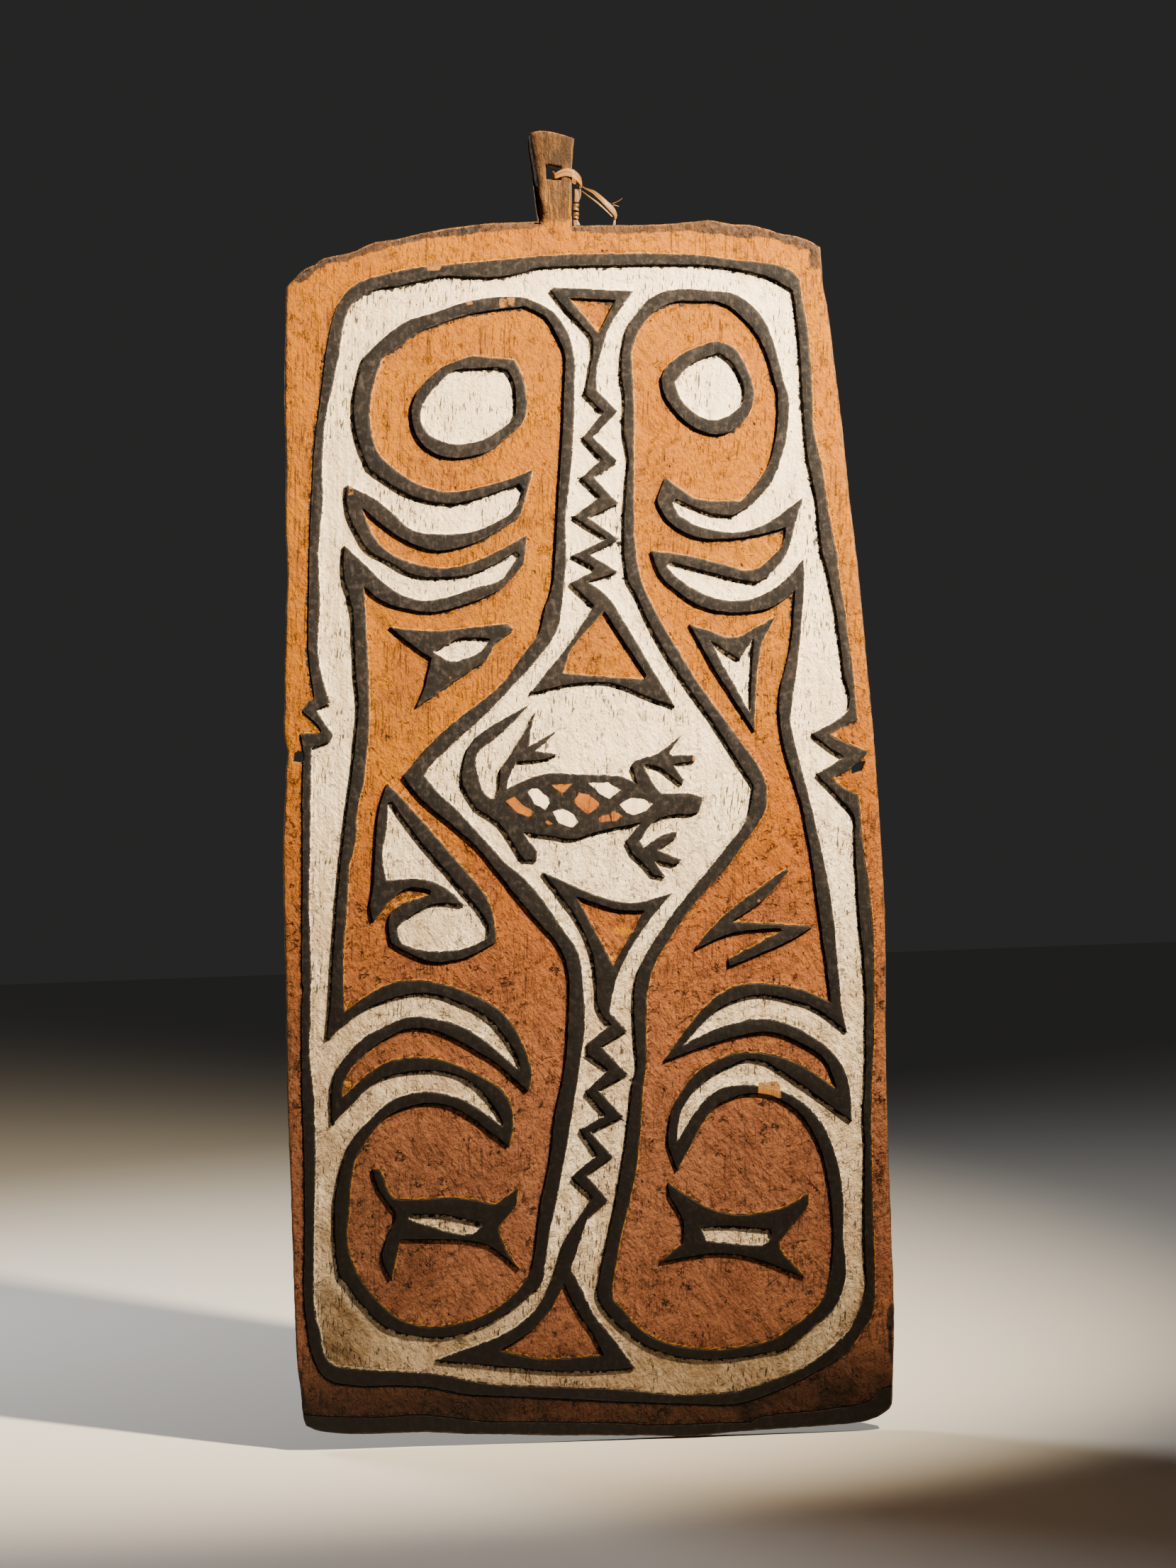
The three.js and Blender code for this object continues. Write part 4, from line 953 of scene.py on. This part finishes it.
def cane_strip(path, thickness, outward, closed=False, seed=0, step=0.8):
    """A split strip: arched, grooved skin outside, flat pith inside."""
    line = smooth_line(path, closed, step)
    centres, widths = line[:, :3], line[:, 3]
    ahead = np.roll(centres, -1, axis=0) - np.roll(centres, 1, axis=0)
    if not closed:
        ahead[0], ahead[-1] = centres[1] - centres[0], centres[-1] - centres[-2]
    ahead /= np.linalg.norm(ahead, axis=1)[:, None]
    travelled = np.concatenate([[0], np.cumsum(np.linalg.norm(np.diff(centres, axis=0), axis=1))])
    spread = np.linspace(-1, 1, 2 * HALF_SKIN + 1)
    groove = np.array([noise.noise(Vector((w * 3.1, seed, 0.5))) for w in spread]) * 0.16
    spots, along, across = [], [], []
    for number, centre in enumerate(centres):
        out = np.array(outward(ahead[number], number / len(centres)), float)
        out -= ahead[number] * float(out @ ahead[number])
        out /= np.linalg.norm(out)
        side = np.cross(out, ahead[number])
        half, deep = widths[number] / 2, min(thickness, widths[number] * 0.6) / 2
        fray = 0.05 * noise.noise(Vector((travelled[number] / 3, seed, 4)))
        ring = [(w * (1 + fray), 0.25 + 0.75 * (1 - w**4) + g) for w, g in zip(spread, groove)]
        ring += [(w * (0.97 + fray), -1 + 0.2 * abs(w)) for w in spread[::-1]]
        for w, lift in ring:
            spots.append(tuple(centre + side * (w * half) + out * (lift * deep)))
            along.append(travelled[number])
            across.append(w * half)
    size, count = 2 * len(spread), len(centres)
    skin = []
    for i in range(count if closed else count - 1):
        j = (i + 1) % count
        for k in range(size):
            m = (k + 1) % size
            skin.append((i * size + k, i * size + m, j * size + m, j * size + k))
    if not closed:
        skin.append(tuple(range(size))[::-1])
        skin.append(tuple((count - 1) * size + k for k in range(size)))
    return spots, skin, along, across


def cane_piece(name, strips, material):
    """One piece made of several strips, with each strip's own lengthwise marks."""
    spots, skin, along, across, number = [], [], [], [], []
    for place, (own_spots, own_skin, own_along, own_across) in enumerate(strips):
        skin += [tuple(len(spots) + corner for corner in face) for face in own_skin]
        spots += own_spots
        along += own_along
        across += own_across
        number += [place] * len(own_spots)
    piece = new_piece(name, spots, skin, [material])
    mark_points(piece, "along_mm", along)
    mark_points(piece, "across_mm", across)
    mark_points(piece, "strip", number)
    return piece


def away_from_tab(along, share):
    return np.cross(along, (0, 0, 1))


def to_front(along, share):
    return (0.0, -1.0, 0.0)


def cane_finish(name, pale, middle, dark, gloss):
    """Fibres run along the strip, parted by fine dark grooves, with dull worn patches."""
    # The paint helpers above build in whichever material's tree is current
    global tree
    material, surface = new_material(name, middle, 0.45)
    tree = material.node_tree
    inputs = {0: maths("MULTIPLY", read("across_mm"), 0.001), 1: maths("MULTIPLY", read("along_mm"), 0.00004)}
    inputs[2] = maths("MULTIPLY", read("strip"), 0.01)
    fibres_at = shader(tree, "CombineXYZ", inputs).outputs[0]
    inputs = {0: maths("MULTIPLY", read("across_mm"), 0.001), 1: maths("MULTIPLY", read("along_mm"), 0.0004)}
    patches_at = shader(tree, "CombineXYZ", inputs).outputs[0]
    fibres = pattern(0.55, fibres_at, detail=4, roughness=0.6)
    bundles = pattern(1.7, fibres_at, detail=2)
    patches = pattern(2.4, patches_at, detail=4)
    cane = mixed(between(bundles, 0.36, 0.64), middle, pale)
    cane = mixed(between(fibres, 0.50, 0.34, 0.0, 0.7), cane, dark)
    cane = mixed(between(patches, 0.52, 0.76, 0.0, 0.55), cane, middle)
    cane = mixed(between(patches, 0.34, 0.24, 0.0, 0.8), cane, dark)
    tree.links.new(cane, surface.inputs["Base Color"])
    height = maths("MULTIPLY_ADD", fibres, 0.30, maths("MULTIPLY", bundles, 0.55))
    relief = shader(tree, "Bump", {"Strength": 1.0, "Distance": MM, "Height": height})
    tree.links.new(relief.outputs[0], surface.inputs["Normal"])
    tree.links.new(between(patches, 0.3, 0.7, gloss, gloss + 0.22), surface.inputs["Roughness"])
    return material


CANE_PALE, CANE_MIDDLE, CANE_DARK = colour(138, 96, 36), colour(90, 58, 20), colour(36, 22, 10)
cane_material = cane_finish("split_cane", CANE_PALE, CANE_MIDDLE, CANE_DARK, 0.30)
loop_strip = cane_piece(
    "cane_loop_strip",
    [cane_strip(cane_path(LOOP_PATH, LOOP_CLEARANCE), LOOP_THICKNESS, away_from_tab, True, 1)],
    cane_material,
)
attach(loop_strip, "root")
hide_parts("cane_loop")


# The binding
# The strip's ends hang down along the tab's right edge, folded together, and
# two turns of the same cane bind them, coloured darker than the rest as painted
# shade. A short flap sticks out at the foot.
BINDING_MIDDLE = 500
TWIST = math.radians(55)
# Darker copies of the cane's colours for the binding: painted shade
BOUND_PALE, BOUND_MIDDLE = colour(104, 72, 30), colour(62, 42, 18)


def bundle_side(along, share):
    """Turns the strip from facing right at the top to facing front below."""
    turn = TWIST * (1 - share)
    return (math.sin(turn), -math.cos(turn), 0.0)


def bundle_back(along, share):
    return (-0.5, -0.8, 0.0)


def turn_round(middle, size, tilt, lean, width, seed):
    """A closed turn of cane round the bundle, slightly crumpled."""
    path = []
    for step in range(12):
        angle = 2 * math.pi * step / 12
        jitter = 1 + 0.10 * noise.noise(Vector((math.cos(angle) * 2, math.sin(angle) * 2, seed)))
        x = middle[0] + size[0] * math.cos(angle) * jitter
        y = middle[1] + size[1] * math.sin(angle) * jitter
        z = middle[2] + tilt * math.cos(angle + lean)
        path.append((x, y, z, width * (1 + 0.12 * math.sin(3 * angle + seed))))
    return path


def strip_centre(across, forward, up):
    return cane_path([(across, forward, up)])[0][:3]


FRONT_END_PATH = (
    (39.3, 505, 1026.4, 900), (40, 510, 1023, 860), (39, 505, 1019, 700), (37.6, 500, 1015.6, 480),
)
BACK_END_PATH = (
    (41.5, 440, 1026.3, 700), (42.4, 440, 1022.5, 640), (40.4, 440, 1018.6, 560), (37.8, 445, 1015.6, 430),
)
FLAP_PATH = (
    (35.0, 510, 1001.2, 560), (35.6, 540, 999.4, 640), (36.6, 560, 997.4, 760), (37.2, 560, 995.8, 840),
)
bundle_strips = [
    cane_strip(cane_path(FRONT_END_PATH), 1.5, bundle_side, False, 2),
    cane_strip(cane_path(BACK_END_PATH), 1.3, bundle_back, False, 3),
]
shaded_bound_cane = cane_finish("shaded_bound_cane", BOUND_PALE, BOUND_MIDDLE, CANE_DARK, 0.34)
bundle = cane_piece("cane_bundle_strips", bundle_strips, shaded_bound_cane)
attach(bundle, "root")
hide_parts("cane_bundle")

for name, node, turns in (
    ("cane_upper_turn_strips", "cane_turn_upper",
     ((36.6, 1012.9, 3.2, 2.9, 0.5, 0.4, 3.4, 1), (36.0, 1009.9, 3.0, 2.7, 0.6, 2.4, 3.6, 2))),
    ("cane_lower_turn_strips", "cane_turn_lower",
     ((36.0, 1005.6, 3.1, 2.8, 0.5, 1.2, 3.3, 3), (35.4, 1003.1, 2.9, 2.6, 0.4, 3.0, 3.1, 4))),
):
    strips = []
    for across, up, wide, deep, tilt, lean, width, seed in turns:
        middle = strip_centre(across, BINDING_MIDDLE, up)
        path = turn_round(middle, (wide, deep), tilt, lean, width, seed)
        strips.append(cane_strip(path, 1.1, away_from_tab, True, seed, 0.5))
    low, high = turns[-1][1] - 1.6, turns[0][1] + 1.6
    core = cane_path([(36.2, 500, high, 480), (36.0, 500, (low + high) / 2, 520), (35.4, 500, low, 480)])
    strips.append(cane_strip(core, 3.6, to_front, False, 9))
    turn = cane_piece(name, strips, shaded_bound_cane)
    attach(turn, "root")
    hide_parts(node)

flap_strip = cane_strip(cane_path(FLAP_PATH), 1.3, to_front, False, 5)
flap = cane_piece("cane_flap_strip", [flap_strip], shaded_bound_cane)
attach(flap, "root")
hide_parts("cane_flap")


# The tail
# The strip's loose end, which hangs out over the board's top edge. It has
# dried and split along its fibres into a broad strip, a thin one and hairs.
TAIL_PATH = (
    (49.3, 470, 1028.5, 130), (52.6, 500, 1027.2, 170), (59.3, 560, 1025.4, 290), (66.3, 620, 1023.5, 430),
    (73, 660, 1020.6, 500), (83.7, 680, 1015.2, 600), (92.2, 640, 1010.9, 690), (99.2, 570, 1006.4, 620),
    (102.2, 520, 1003.4, 420), (101.4, 500, 1000.2, 170),
)
SPLIT_PATH = (
    (47.6, 500, 1024.9, 110), (54, 540, 1022.1, 150), (61.6, 580, 1018.9, 190), (71.5, 600, 1014.9, 230),
    (80, 590, 1011, 210), (87.6, 570, 1007.3, 160), (96.8, 540, 1002.4, 110),
)
STRAND_PATH = ((100.7, 500, 999.9, 200), (99.7, 490, 997.2, 300), (99.2, 480, 995, 280))
UPPER_FIBRE_PATH = (
    (96.8, 630, 1013.2, 100), (103.5, 640, 1014.2, 100), (109, 680, 1015.4, 90), (114, 720, 1017, 60),
)
LOWER_FIBRE_PATH = ((98, 600, 1011.9, 90), (103.4, 520, 1011.9, 90), (108.4, 490, 1010.7, 60))

brown_cane = cane_finish("weathered_cane", colour(150, 104, 58), colour(108, 70, 38), colour(52, 32, 18), 0.5)
# Piece, CAD node, path, thickness, slot and the seed of its grooves
for name, node, path, thickness, slot, seed in (
    ("cane_tail_strip", "cane_tail", TAIL_PATH, 1.1, "cane", 15),
    ("cane_tail_thin_strip", "cane_tail_split", SPLIT_PATH, 0.9, "cane", 20),
    ("cane_tail_strand", "cane_strand", STRAND_PATH, 0.9, "dark_cane", 16),
    ("cane_upper_hair", "cane_fibre_upper", UPPER_FIBRE_PATH, 0.7, "cane", 15),
    ("cane_lower_hair", "cane_fibre_lower", LOWER_FIBRE_PATH, 0.7, "cane", 15),
):
    finish_of_piece = brown_cane if slot == "dark_cane" else cane_material
    loose_strip = cane_strip(cane_path(path), thickness, to_front, False, seed)
    piece = cane_piece(name, [loose_strip], finish_of_piece)
    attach(piece, "root")
    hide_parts(node)
